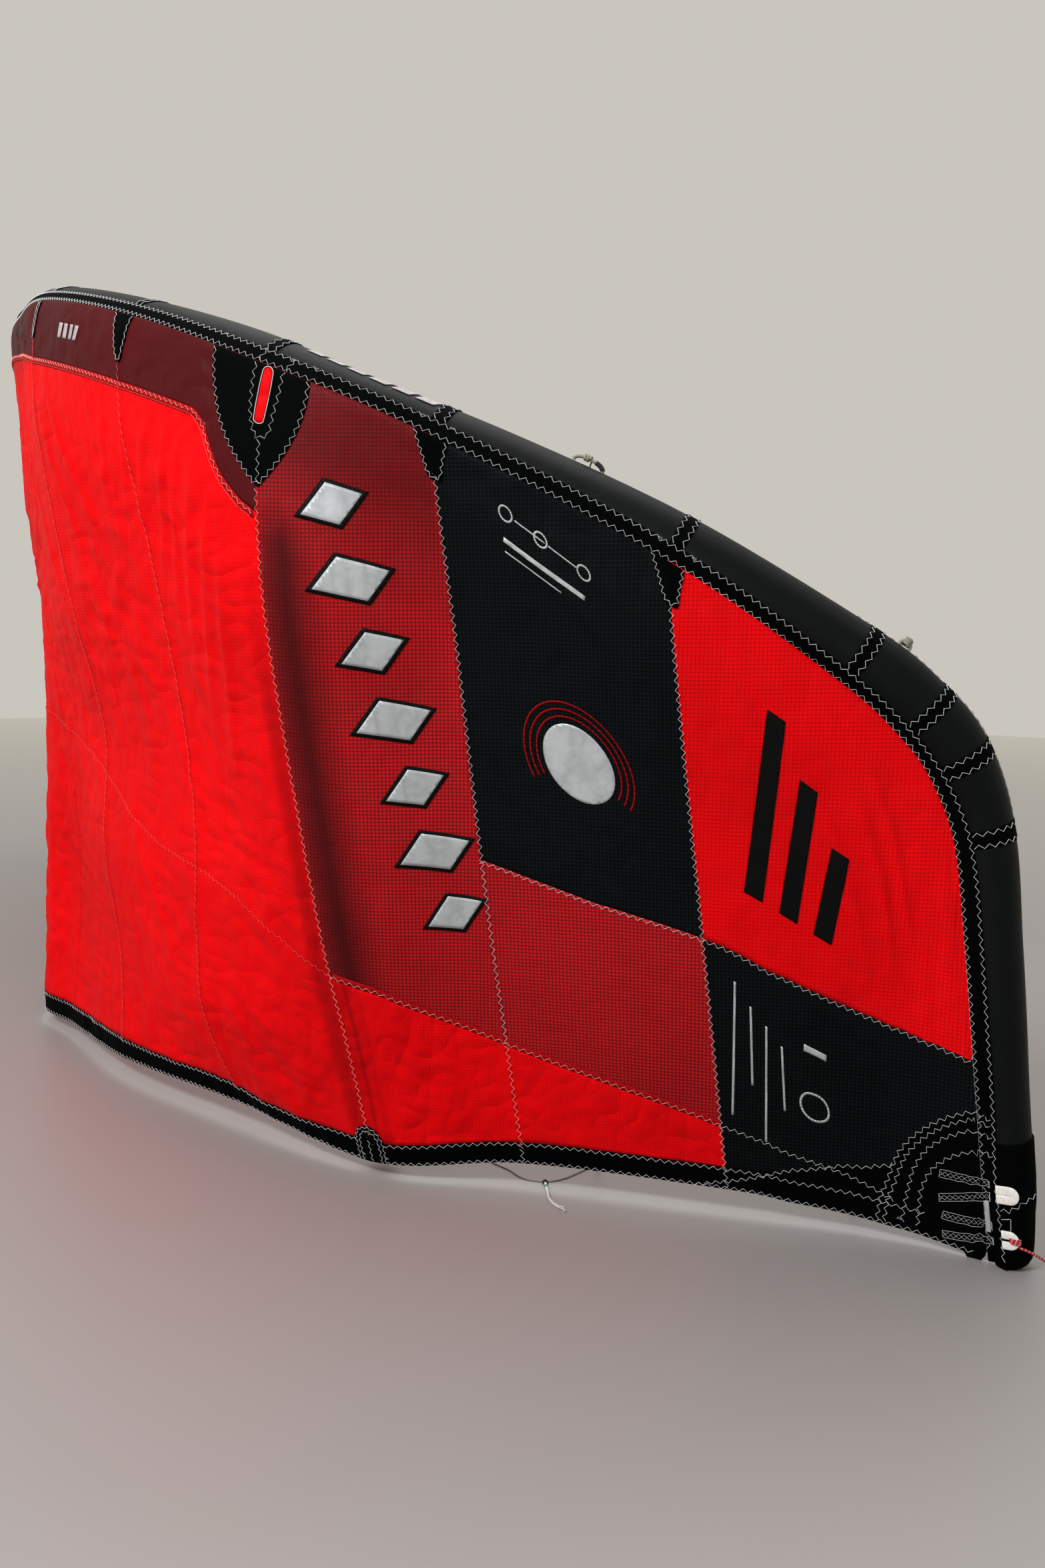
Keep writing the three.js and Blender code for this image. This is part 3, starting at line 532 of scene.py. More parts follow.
def face_along(bm, sample, directions):
    """Turns all faces over if those of the sample point against the directions given for them."""
    bm.normal_update()
    if sum(face.normal.dot(Vector(direction)) for face, direction in zip(sample, directions)) < 0:
        bmesh.ops.reverse_faces(bm, faces=bm.faces[:])


def thicken(piece, thickness):
    """Gives a sheet its wall, inwards from its outer face."""
    shell = piece.modifiers.new("thickness", "SOLIDIFY")
    shell.thickness = thickness
    shell.offset = -1.0
    return piece


def set_value(piece, name, values):
    """A number at each vertex that the piece's material reads."""
    attribute = piece.data.attributes.new(name, "FLOAT", "POINT")
    attribute.data.foreach_set("value", np.asarray(values, np.float32))


def flat_frame(points):
    """Places in metres on the plane that fits the points best, along the span and down the chord."""
    centre = points.mean(axis=0)
    _, _, axes = np.linalg.svd(points - centre, full_matrices=False)
    down = unit(np.array([0, 0, -1.0]) - axes[2] * -axes[2][2])
    across = np.cross(axes[2], down)
    return np.stack([(points - centre) @ across, (points - centre) @ down], axis=1)


CLOTH_CELL = 0.008
SAMPLES = 12


def cloth_piece(name, skin, edges, cells, thickness, material, replaces=(), lift=0.0):
    """A sheet that lies on a skin. edges takes places in the unit square to places on the skin."""
    bm = bmesh.new()
    vertices, across, down = grid(bm, *cells)
    a, b = edges(across, down)
    points = skin(a, b, lift)
    move(vertices, points)
    bm.verts.index_update()
    bm.faces.ensure_lookup_table()
    sample = [bm.faces[k] for k in range(0, len(bm.faces), max(1, len(bm.faces) // SAMPLES))]
    index = [face.verts[0].index for face in sample]
    face_along(bm, sample, skin(a[index], b[index], lift + 0.001) - points[index])
    piece = finish_mesh(name, bm, material, replaces, points_uv=flat_frame(points))
    thicken(piece, thickness)
    return piece, a, b


def tube_piece(bm, points, ups, widths, thicks, sides, corner=1.0):
    """A closed tube through points, oval if its width and thickness differ, and squarer with a
    smaller corner. Adds it to a bmesh."""
    points = np.asarray(points, float)
    count = len(points)
    along = unit(np.gradient(points, axis=0))
    side = unit(np.cross(along, ups))
    rise = np.cross(side, along)
    vertices, share, around = grid(bm, count - 1, sides)
    index = np.rint(share * (count - 1)).astype(int)
    angle = 2 * np.pi * around
    wide = np.broadcast_to(widths, (count,))[index] / 2
    thick = np.broadcast_to(thicks, (count,))[index] / 2
    squarer = lambda x: np.sign(x) * np.abs(x) ** corner
    ring = side[index] * (wide * squarer(np.cos(angle)))[:, None]
    ring = ring + rise[index] * (thick * squarer(np.sin(angle)))[:, None]
    move(vertices, points[index] + ring)
    lengths = np.concatenate([[0], np.cumsum(np.linalg.norm(np.diff(points, axis=0), axis=1))])
    return vertices, np.stack([lengths[index], around * np.pi * np.mean(widths)], axis=1)


def carried_ups(points, first):
    """Directions across a line that turn as little as they can from point to point."""
    along = unit(np.gradient(np.asarray(points, float), axis=0))
    ups = [unit(np.asarray(first, float) - along[0] * np.dot(first, along[0]))]
    for direction in along[1:]:
        ups.append(unit(ups[-1] - direction * np.dot(ups[-1], direction)))
    return np.array(ups)


CORD_UP = (0.1, 0.2, 1)


def close_tubes(bm):
    """Joins the long edges of the tubes and closes their ends."""
    bmesh.ops.remove_doubles(bm, verts=bm.verts[:], dist=1e-6)
    bmesh.ops.holes_fill(bm, edges=[edge for edge in bm.edges if edge.is_boundary], sides=0)
    bmesh.ops.recalc_face_normals(bm, faces=bm.faces[:])


def cord_piece(name, lines, diameter, material, replaces=(), sides=10):
    """One or more round cords as one piece."""
    bm = bmesh.new()
    places = [
        tube_piece(bm, line, carried_ups(line, CORD_UP), diameter, diameter, sides)[1] for line in lines
    ]
    lay_places(bm, np.vstack(places))
    close_tubes(bm)
    return finish_mesh(name, bm, material, replaces)


def smooth_line(points, per_point=6, lowest=None):
    """The solids' cord lines: a centripetal curve through points, kept above the ground."""
    points = np.asarray(points, float)
    padded = np.vstack([2 * points[0] - points[1], points, 2 * points[-1] - points[-2]])
    line = []
    for a, b, c, d in zip(padded, padded[1:], padded[2:], padded[3:]):
        steps = [np.sqrt(np.linalg.norm(q - p)) for p, q in ((a, b), (b, c), (c, d))]
        t0, t1, t2, t3 = 0, steps[0], steps[0] + steps[1], sum(steps)
        for t in np.linspace(t1, t2, per_point, endpoint=False):
            ab = (a * (t1 - t) + b * (t - t0)) / (t1 - t0)
            bc = (b * (t2 - t) + c * (t - t1)) / (t2 - t1)
            cd = (c * (t3 - t) + d * (t - t2)) / (t3 - t2)
            abc = (ab * (t2 - t) + bc * (t - t0)) / (t2 - t0)
            bcd = (bc * (t3 - t) + cd * (t - t1)) / (t3 - t1)
            line.append((abc * (t2 - t) + bcd * (t - t1)) / (t2 - t1))
    line = np.array([*line, points[-1]])
    if lowest is not None:
        line[:, 2] = np.maximum(line[:, 2], lowest)
    return line


# Materials


def linear(code):
    """A colour from its six hexadecimal digits, as the shaders take it."""
    parts = [int(code[i : i + 2], 16) / 255 for i in (0, 2, 4)]
    return (*(x / 12.92 if x <= 0.04045 else ((x + 0.055) / 1.055) ** 2.4 for x in parts), 1)


def put(tree, kind, inputs=(), **settings):
    """Adds a node. Each input is a value or the output that feeds it."""
    made = tree.nodes.new(kind)
    for key, value in settings.items():
        setattr(made, key, value)
    for key, value in dict(inputs).items():
        if isinstance(value, bpy.types.NodeSocket):
            tree.links.new(value, made.inputs[key])
        else:
            made.inputs[key].default_value = value
    return made


def group_tree(name, inputs, outputs):
    tree = bpy.data.node_groups.new(name, "ShaderNodeTree")
    for title, kind, value in inputs:
        socket = tree.interface.new_socket(title, in_out="INPUT", socket_type=kind)
        if value is not None:
            socket.default_value = value
    for title, kind in outputs:
        tree.interface.new_socket(title, in_out="OUTPUT", socket_type=kind)
    return tree, tree.nodes.new("NodeGroupInput").outputs, tree.nodes.new("NodeGroupOutput").inputs


def math_node(tree, operation, first, second=0.0, third=0.0):
    node = put(tree, "ShaderNodeMath", {0: first, 1: second, 2: third}, operation=operation)
    return node.outputs[0]


def mapped(tree, value, start, end, low=0.0, high=1.0):
    """A value between start and end, taken to between low and high."""
    return put(tree, "ShaderNodeMapRange", {
        "Value": value, "From Min": start, "From Max": end, "To Min": low, "To Max": high,
    }).outputs["Result"]


def ripstop_group():
    """Thicker threads in both directions of a weave, at a spacing in metres."""
    tree, given, out = group_tree(
        "ripstop",
        [("Place", "NodeSocketVector", None), ("Spacing", "NodeSocketFloat", 0.006),
         ("Width", "NodeSocketFloat", 0.2)],
        [("Mask", "NodeSocketFloat")],
    )
    parts = put(tree, "ShaderNodeSeparateXYZ", {0: given["Place"]})
    soft = []
    for axis in ("X", "Y"):
        scaled = math_node(tree, "DIVIDE", parts.outputs[axis], given["Spacing"])
        away = math_node(tree, "PINGPONG", scaled, 0.5)
        soft.append(mapped(tree, away, 0.0, given["Width"], 1.0, 0.0))
    tree.links.new(math_node(tree, "MAXIMUM", *soft), out["Mask"])
    return tree


# Three layers of folds: how they are stretched and turned, and their detail
CREASE_LAYERS = (
    ((1, 1, 0.3), (0.5, 0.6, 0.2), 0.0),
    ((0.5, 1.9, 1.9), (0.2, 0.5, 0.9), 0.0),
    ((3.1, 2.7, 1.4), (0.9, 0.1, 0.4), 1.0),
)


def crease_group():
    """Crumpled facets with sharp folds as a height, and slow changes of tone."""
    tree, given, out = group_tree(
        "cloth_creases",
        [("Scale", "NodeSocketFloat", 30.0)],
        [("Height", "NodeSocketFloat"), ("Tone", "NodeSocketFloat")],
    )
    place = put(tree, "ShaderNodeTexCoord").outputs["Object"]
    heights = []
    for stretch, turn, detail in CREASE_LAYERS:
        turned = put(tree, "ShaderNodeMapping", {"Vector": place, "Rotation": turn, "Scale": stretch})
        cloud = put(tree, "ShaderNodeTexNoise", {
            "Vector": turned.outputs[0], "Scale": given["Scale"], "Detail": detail, "Roughness": 0.4,
        })
        heights.append(math_node(tree, "ABSOLUTE", math_node(tree, "SUBTRACT", cloud.outputs[0], 0.5)))
    total = math_node(tree, "MULTIPLY_ADD", heights[1], 0.5, heights[0])
    tree.links.new(math_node(tree, "MULTIPLY_ADD", heights[2], 0.25, total), out["Height"])
    slow = put(tree, "ShaderNodeTexNoise", {"Vector": place, "Scale": 3.0, "Detail": 3.0})
    tree.links.new(slow.outputs[0], out["Tone"])
    return tree


RIPSTOP = ripstop_group()
CREASES = crease_group()
UNEVEN = 0.06


def use_group(tree, group, inputs):
    return put(tree, "ShaderNodeGroup", inputs, node_tree=group).outputs


def mix_colour(tree, share, first, second, blend="MIX"):
    made = tree.nodes.new("ShaderNodeMix")
    made.data_type = "RGBA"
    made.blend_type = blend
    for socket, value in ((made.inputs[0], share), (made.inputs[6], first), (made.inputs[7], second)):
        if isinstance(value, bpy.types.NodeSocket):
            tree.links.new(value, socket)
        else:
            socket.default_value = value
    return made.outputs[2]


def new_material(name):
    material = bpy.data.materials.new(name)
    material.use_nodes = True
    return material, material.node_tree, material.node_tree.nodes["Principled BSDF"]


def shaded(tree, colour, tone):
    """A colour made darker or lighter by a tone."""
    grey = put(tree, "ShaderNodeCombineColor", {0: tone, 1: tone, 2: tone}).outputs[0]
    return mix_colour(tree, 1.0, colour, grey, "MULTIPLY")


def raise_surface(tree, shader, height, distance, strength=1.0):
    bump = put(tree, "ShaderNodeBump", {"Height": height, "Distance": distance, "Strength": strength})
    tree.links.new(bump.outputs[0], shader.inputs["Normal"])


def cloth_material(name, colour, threads, roughness, spacing, crease, shadow=None, width=0.2, shine=0.15):
    """Woven cloth: its colour, its ripstop threads' colour, and how crumpled it is. shadow is the
    colour of the painted shadow that it takes where something dark is close behind it."""
    material, tree, shader = new_material(name)
    places = put(tree, "ShaderNodeUVMap", uv_map="cut").outputs[0]
    grid_mask = use_group(tree, RIPSTOP, {"Place": places, "Spacing": spacing, "Width": width})["Mask"]
    folds = use_group(tree, CREASES, {"Scale": crease[0]})
    painted = mix_colour(tree, grid_mask, linear(colour), linear(threads))
    if shadow:
        # Painted shadow: the shadow colour mixed in by the shadow attribute
        dark = put(tree, "ShaderNodeAttribute", attribute_name="shadow").outputs["Fac"]
        painted = mix_colour(tree, dark, painted, linear(shadow))
    painted = shaded(tree, painted, mapped(tree, folds["Tone"], 0.3, 0.7, 0.84, 1.08))
    tree.links.new(painted, shader.inputs["Base Color"])
    rough = mapped(tree, folds["Tone"], 0.3, 0.7, roughness - UNEVEN, roughness + UNEVEN)
    tree.links.new(rough, shader.inputs["Roughness"])
    woven = math_node(tree, "MULTIPLY", grid_mask, 0.1)
    height = math_node(tree, "ADD", math_node(tree, "MULTIPLY", folds["Height"], crease[1]), woven)
    raise_surface(tree, shader, height, 0.001)
    shader.inputs["Specular IOR Level"].default_value = shine
    return material


def cord_material(name, colour, tracer=None, pitch=0.004, roughness=0.75):
    """Braided cord: strands that cross at a pitch in metres along and around it, painted darker between
    the strands as painted shade.
    """
    material, tree, shader = new_material(name)
    places = put(tree, "ShaderNodeUVMap", uv_map="cut").outputs[0]
    parts = put(tree, "ShaderNodeSeparateXYZ", {0: places})
    waves = []
    for sign in (1.0, -1.0):
        slanted = math_node(tree, "MULTIPLY_ADD", parts.outputs["Y"], sign, parts.outputs["X"])
        waves.append(math_node(tree, "PINGPONG", math_node(tree, "DIVIDE", slanted, pitch), 0.5))
    braid = math_node(tree, "MAXIMUM", *waves)
    # Painted shade: darker in the grooves between the strands, full colour on their crests
    dark = tuple(x * 0.45 for x in linear(colour)[:3]) + (1,)
    light = mapped(tree, braid, 0.2, 0.5)
    painted = mix_colour(tree, light, dark, linear(colour))
    if tracer:
        along = math_node(tree, "DIVIDE", parts.outputs["X"], pitch * 3)
        along = math_node(tree, "PINGPONG", along, 0.5)
        mark = math_node(tree, "GREATER_THAN", along, 0.4)
        painted = mix_colour(tree, math_node(tree, "MULTIPLY", mark, light), painted, linear(tracer))
    tree.links.new(painted, shader.inputs["Base Color"])
    raise_surface(tree, shader, braid, 0.0006, 0.8)
    shader.inputs["Roughness"].default_value = roughness
    return material


def plain_material(name, colour, roughness, scale, depth, metallic=0.0, shine=0.4):
    """A fine surface for thread, webbing and foil, its colour darker in its creases and lighter on their
    crests as painted shade.
    """
    material, tree, shader = new_material(name)
    folds = use_group(tree, CREASES, {"Scale": scale})
    # Painted shade: darker down in the creases, lighter on their crests
    painted = shaded(tree, linear(colour), mapped(tree, folds["Height"], 0.0, 0.3, 0.8, 1.05))
    tree.links.new(painted, shader.inputs["Base Color"])
    raise_surface(tree, shader, folds["Height"], depth)
    shader.inputs["Roughness"].default_value = roughness
    shader.inputs["Metallic"].default_value = metallic
    shader.inputs["Specular IOR Level"].default_value = shine
    return material


# Name, colour, ripstop threads' colour, roughness, spacing of the threads, and the creases' scale
# and height
# shadow gives the colour of each cloth's painted shadow over the struts and the tube
RED = cloth_material("red_ripstop", "ee040c", "d8030a", 0.6, 0.006, (13, 15.0), shadow="5c0206",
                     shine=0.05)
TIP_RED = cloth_material("tip_red_ripstop", "f2060e", "c00309", 0.6, 0.0062, (9, 7.0), width=0.26,
                         shine=0.05)
MAROON = cloth_material("maroon_ripstop", "c4181f", "620b0f", 0.55, 0.0062, (12, 4.0),
                        shadow="3c070b", width=0.3, shine=0.08)
SCRIM = cloth_material("maroon_scrim", "500c11", "40090d", 0.55, 0.003, (10, 11.0), shine=0.07)
DEEP_RED = cloth_material("doubled_red", "a8060e", "92050b", 0.6, 0.003, (26, 1.0), shine=0.06)
BLACK = cloth_material("black_ripstop", "020405", "101518", 0.5, 0.0062, (8, 8.0), width=0.22,
                       shine=0.05)
TAPE = cloth_material("black_tape", "010202", "050607", 0.7, 0.002, (50, 0.8), shine=0.02)
TUBE = cloth_material("tube_cloth", "05080b", "030609", 0.45, 0.0012, (10, 1.6), shine=0.11)
THREAD = plain_material("grey_thread", "c2c5c8", 0.6, 300, 0.0001)
PINK_THREAD = plain_material("pink_thread", "f29a90", 0.6, 300, 0.0001)
RED_THREAD = plain_material("red_thread", "e23a34", 0.6, 300, 0.0001)
WEBBING_TAPE = plain_material("white_webbing", "efeeea", 0.75, 260, 0.0004)
SILVER = plain_material("silver_film", "b4b9bd", 0.45, 34, 0.0012, metallic=0.25)
PALE_PRINT = plain_material("pale_print", "a8a0a3", 0.6, 60, 0.0003)
BLACK_FILM = plain_material("black_film", "040505", 0.6, 34, 0.0006, shine=0.1)
BLACK_CORD = cord_material("black_cord", "15171a", pitch=0.0015)
GREEN_MARK = plain_material("green_mark", "1f7a4d", 0.6, 200, 0.0003)
OLIVE_ROPE = cord_material("olive_rope", "a9a898", pitch=0.003)
GREY_CORD = cord_material("grey_cord", "8d8884", pitch=0.0015)
WHITE_CORD = cord_material("white_cord", "e4e3de", pitch=0.002)
RED_CORD = cord_material("red_cord", "cf1f2e", tracer="f1e9e6", pitch=0.002)

# Cords first: the rope loops on the tube, the bridle line and the two short lines
ROPE_LOOP = {"near": 6.56, "far": 8.25, "turn": 95, "diameter": 0.006}
ARCH = [(-1, 0), (-1, .35), (-.72, .8), (0, 1), (.72, .8), (1, .35), (1, 0)]
FACET_DIP = 0.0003
BRIDLE_DIAMETER = 0.0026
BRIDLE_WRAP = [(98.2, .0155), (112, .011), (130, .0045), (150, .0026), (175, .0026)]
BRIDLE_GROUND = [
    (1.574, .907, 1.033), (1.559, .915, .795), (1.536, .926, .531), (1.509, .94, .314),
    (1.477, .955, .16), (1.441, .973, .063), (1.405, .99, .016), (1.375, 1, .0014),
    (1.398, .96, .0014), (1.421, .921, .0014), (1.426, .888, .0014), (1.405, .853, .0014),
    (1.36, .836, .0014), (1.31, .812, .0014), (1.262, .818, .0014), (1.228, .865, .0014),
    (1.245, .945, .0014), (1.32, 1.05, .0014), (1.43, 1.19, .0014), (1.545, 1.31, .0014),
    (1.6, 1.35, .0014), (1.645, 1.362, .0014), (1.67, 1.358, .012), (1.685, 1.352, .05),
    (1.697, 1.345, .15), (1.709, 1.336, .35), (1.722, 1.325, .62), (1.731, 1.317, .79),
]
BRIDLE_PIGTAIL = [
    (1.4272, .885, .0026), (1.45, .881, .0026), (1.473, .877, .0026), (1.497, .873, .0026),
    (1.517, .874, .0026), (1.537, .88, .0026),
]
BRIDLE_PIGTAIL_DIAMETER = 0.005
TIP_PIGTAIL = [
    (1.927, 1.4954, .0483), (1.9325, 1.5005, .046), (1.936, 1.51, .042), (1.937, 1.523, .035),
    (1.9365, 1.536, .0265), (1.935, 1.549, .017), (1.933, 1.563, .008), (1.932, 1.578, .0025),
    (1.935, 1.593, .0022), (1.941, 1.607, .0022),
]
TIP_PIGTAIL_DIAMETER = 0.004


def in_frame(points):
    return np.asarray(points, float) - np.array([0, CENTRE_Y, 0])


def coil(centre, axis, first, second, turns, pitch):
    """A cord that is wound round something: its line, on an oval given by two half axes."""
    t = np.linspace(-turns / 2, turns / 2, int(turns * 20) + 1)
    angle = 2 * np.pi * t[:, None]
    return centre + first * np.cos(angle) + second * np.sin(angle) + axis * (pitch * t)[:, None]


KNOT_DIAMETER = 0.009
KNOT_CORD = 0.0027
FRAYED_DIAMETER = 0.0011
FRAYED_LOW = 0.0016
FRAYED_TO = (-.004, -.0015, .001, .0035)
TURN_RADIUS = 0.0038


def knot_line(middle):
    """A cord pulled tight round itself, in a ball that lies on the ground."""
    t = np.linspace(0, 2 * np.pi, 60)
    x = np.sin(t) + 2 * np.sin(2 * t)
    y = np.cos(t) - 2 * np.cos(2 * t)
    flat = np.stack([x, y, -1.6 * np.sin(3 * t)], axis=1)
    return middle + flat * (KNOT_DIAMETER - KNOT_CORD) / 6


def make_end_knot(name, line, material):
    """A knot at a cord's far end, and the frayed ends that come out of it."""
    ahead = unit(line[-1] - line[-2])
    middle = line[-1] + ahead * (KNOT_DIAMETER / 2 + GAP)
    middle[2] = KNOT_DIAMETER / 2
    side = np.cross(ahead, (0, 0, 1))
    ends = []
    for x in FRAYED_TO:
        last = middle + ahead * 0.012 + side * x
        last[2] = FRAYED_LOW
        ends.append(np.array([middle, middle + ahead * 0.006 + side * x * 0.3, last]))
    return [
        cord_piece(f"{name}_cord", [knot_line(middle)], KNOT_CORD, material, (name,)),
        cord_piece(f"{name}_frayed_ends", ends, FRAYED_DIAMETER, material, sides=6),
    ]


def make_cord(name, points, diameter, material, knot=None):
    """A free cord, in place of the solid of its name."""
    line = smooth_line(points, lowest=diameter / 2 + CORD_CLEAR)
    piece = cord_piece(f"{name}_cord", [line], diameter, material, (name,), sides=12)
    goes_with = make_end_knot(knot, line, material) if knot else []


def make_cords():
    near, far = (
        [over_tube(ROPE_LOOP[end], degrees, rise) for degrees, rise in BRIDLE_WRAP]
        for end in ("near", "far")
    )
    make_cord("bridle_line", [*near, *in_frame(BRIDLE_GROUND), *far[::-1]], BRIDLE_DIAMETER, GREY_CORD)
    make_cord("bridle_pigtail", in_frame(BRIDLE_PIGTAIL), BRIDLE_PIGTAIL_DIAMETER, WHITE_CORD,
              "bridle_knot")
    make_cord("tip_pigtail", in_frame(TIP_PIGTAIL), TIP_PIGTAIL_DIAMETER, RED_CORD,
              "tip_knot")


def make_pigtail_marks():
    """Where the short line is hitched on the bridle line: black turns over it, and a green sleeve."""
    line = smooth_line(in_frame(BRIDLE_PIGTAIL))
    ahead = unit(line[1] - line[0])
    side = np.cross(ahead, (0, 0, 1))
    angle = np.radians(np.linspace(-20, 200, 16))[:, None]
    arcs = []
    for k in range(3):
        arc = line[0] + ahead * (0.0015 + 0.0026 * k) + side * TURN_RADIUS * np.cos(angle)
        arc = arc + np.array([0, 0, 1]) * (TURN_RADIUS * np.sin(angle))
        arc[:, 2] = np.maximum(arc[:, 2], 0.0013)
        arcs.append(arc)
    cord_piece("bridle_hitch_cord", arcs, 0.0024, BLACK_CORD)
    mark = line[0] + ahead * np.linspace(0.018, 0.026, 6)[:, None] + np.array([0, 0, 0.0001])
    cord_piece("bridle_mark", [mark], 0.0052, GREEN_MARK)


make_cords()
make_pigtail_marks()
SIDES = ((1, "r"), (-1, "l"))


HITCH_CORD = 0.0042
SLEEVE_DIAMETER = 0.0078
KNOT_END_DIAMETER = 0.0088
# Number, place along the span, height and reach of each loop
ROPE_LOOP_ROWS = ((1, ROPE_LOOP["near"], 0.011, 0.024), (2, ROPE_LOOP["far"], 0.012, 0.009))


def make_rope_loops():
    """The near loop lies low with a black sleeve on it. The far one stands up in a knot."""
    for (side, letter), (number, u, height, reach) in itertools.product(SIDES, ROPE_LOOP_ROWS):
        points = [
            over_tube(u, ROPE_LOOP["turn"], height * up - FACET_DIP, across * reach)
            for across, up in ARCH
        ]
        line = smooth_line(points)
        line[:, 0] *= side
        cord_piece(f"rope_loop{number}_{letter}_rope", [line], ROPE_LOOP["diameter"], OLIVE_ROPE,
                   (f"rope_loop{number}_{letter}",), sides=12)
        top = len(line) // 2
        foot = (line[0] + line[-1]) / 2
        rise = unit(line[top] - foot)
        along = unit(line[top + 1] - line[top - 1])
        across = np.cross(along, rise)
        if number == 1:
            cord_piece(f"rope_sleeve_{letter}_cord", [line[top + 3 : top + 13]], SLEEVE_DIAMETER,
                       BLACK_CORD)
            turns = coil(line[top] - along * 0.006, along, rise * TURN_RADIUS, across * TURN_RADIUS, 2.5,
                         HITCH_CORD)
        else:
            turns = coil(foot + rise * 0.01, rise, along * 0.0055, across * 0.0045, 3, HITCH_CORD)
            ball = [line[top] + rise * x for x in np.linspace(-0.001, 0.006, 6)]
            cord_piece(f"rope_knot_end_{letter}_rope", [ball], KNOT_END_DIAMETER, OLIVE_ROPE)
        cord_piece(f"rope_hitch{number}_{letter}_rope", [turns], HITCH_CORD, OLIVE_ROPE)


make_rope_loops()

# Canopy panels: name, from seam to seam, top and bottom edge, finish and slot
front = lambda u: np.zeros_like(u)
TIP_END = 14.98
PANELS = [
    ("bay1", 2, SEAM1, scrim_edge, band_top, RED, "red_cloth"),
    ("bay2", SEAM1, SEAM2, scrim_edge, band_top, RED, "red_cloth"),
    ("bay3", SEAM2, STRUT, scrim_edge, band_top, RED, "red_cloth"),
    ("bay4_top", STRUT, SEAM3, front, lower_seam, MAROON, "maroon_cloth"),
    ("bay4_low", STRUT, SEAM3, lower_seam, band_top, RED, "red_cloth"),
    ("bay5_top", SEAM3, SEAM4, front, upper_seam, BLACK, "black_cloth"),
    ("bay5_mid", SEAM3, SEAM4, upper_seam, lower_seam, MAROON, "maroon_cloth"),
    ("bay5_low", SEAM3, SEAM4, lower_seam, band_top, RED, "red_cloth"),
    ("tip_top", SEAM4, TIP_TOP_END, front, upper_seam, TIP_RED, "red_cloth"),
    ("tip_low", SEAM4, TIP_END, upper_seam, band_top, BLACK, "black_cloth"),
]
CLOTH_THICKNESS = 0.0008
# Stripes of painted shade beside the strut below the lower seam: how fast they repeat, per metre
PLEAT_SHADE_PER_METRE = 600


def shadow_at(u, v):
    """Painted shadow: how dark the cloth is painted over the struts and the tube, which show through it
    as shadows.
    """
    place = np.abs(u)
    x, depth = cut_plan(u, v)
    away = np.abs(x) - cut_plan(np.full_like(place, STRUT), v)[0]
    # Painted shadow of the strut: strongest just beside it, wider on its outer side
    right = np.interp(away, [0, .006, .016, .04, .062, .1], [.25, .6, .75, .95, .6, 0])
    left = np.interp(away, [-.045, -.028, -.012, 0], [0, .4, .5, .25])
    # Below the lower seam the strut's painted shadow is narrower, in stripes of painted shade for small
    # pleats
    pleat_shade = np.interp(away, [0, .004, .014, .03, .05], [.3, .75, .6, .5, 0])
    pleat_shade = pleat_shade * (0.6 + 0.4 * np.cos(away * PLEAT_SHADE_PER_METRE))
    right = np.where(v > lower_seam(u) - 0.002, pleat_shade, right)
    right = right * np.clip((v - 0.09) / 0.1, 0, 1)
    left = left * np.clip((v - 0.2) / 0.2, 0, 1)
    strut = np.where(away > 0, right, left)
    # Painted shadow of the tube near the front edge, deep between the strut and the third seam
    deep = 0.75 * np.clip((0.3 - depth) / 0.2, 0, 1)
    shallow = 0.25 * np.clip((0.125 - depth) / 0.06, 0, 1)
    tube = np.where((place > STRUT) & (place < SEAM3), deep, shallow)
    return np.clip(np.maximum(strut, tube), 0, 1)


def panel(name, start, end, top, bottom, material, node):
    """A panel of the canopy. Its flat size, from its longest and widest lines, is worked out but not
    kept.
    """
    middle = (start + end) / 2
    places = np.array([start, middle, end])
    length = np.max(bottom(places) - top(places)) * chord_length(middle)
    width = max(abs(float(cut_plan(end, v)[0] - cut_plan(start, v)[0])) for v in (0.0, 0.5, 1.0))

    def edges(across, down):
        lengths = span_length(np.array([start, end]))
        u = span_place(lengths[0] + (lengths[1] - lengths[0]) * across)
        return u, top(u) + (bottom(u) - top(u)) * down

    cells = (math.ceil(width / CLOTH_CELL), math.ceil(length / CLOTH_CELL))
    piece, u, v = cloth_piece(name, canopy, edges, cells, CLOTH_THICKNESS, material, (node,))
    # The painted shadow over the struts and the tube, which the material reads
    set_value(piece, "shadow", shadow_at(u, v))
    area = sum(face.area for face in piece.data.polygons)
    flat = [max(width, 0.01), length]
    flat[0] = max(flat[0], area / flat[1])
    return piece


def make_panels():
    for side, letter in SIDES:
        for name, start, end, top, bottom, material, slot in PANELS:
            panel(f"{name}_{letter}_cloth", side * start, side * end, top, bottom, material,
                  f"panel_{name}_{letter}")
    panel("middle_cloth", -2, 2, scrim_edge, band_top, RED, "panel_middle")
    panel("scrim_cloth", -STRUT, STRUT, front, scrim_edge, SCRIM, "scrim_band")


make_panels()


EDGE_BAND_THICKNESS = 0.0014


def make_edge_bands():
    for side, letter in SIDES:
        def edges(across, down):
            u = side * np.interp(across * TRAIL_LENGTHS[-1], TRAIL_LENGTHS, FINE)
            return u, band_top(u) + (1 - band_top(u)) * down

        cloth_piece(f"edge_band_{letter}_tape", canopy, edges, (340, 5), EDGE_BAND_THICKNESS, TAPE,
                    (f"edge_band_{letter}",))


make_edge_bands()

TUBE_SIDES = 56
# Metres of the tube's cloth along it and round it
TUBE_CLOTH = (3.4, 0.4)
CAP_START = 14.02


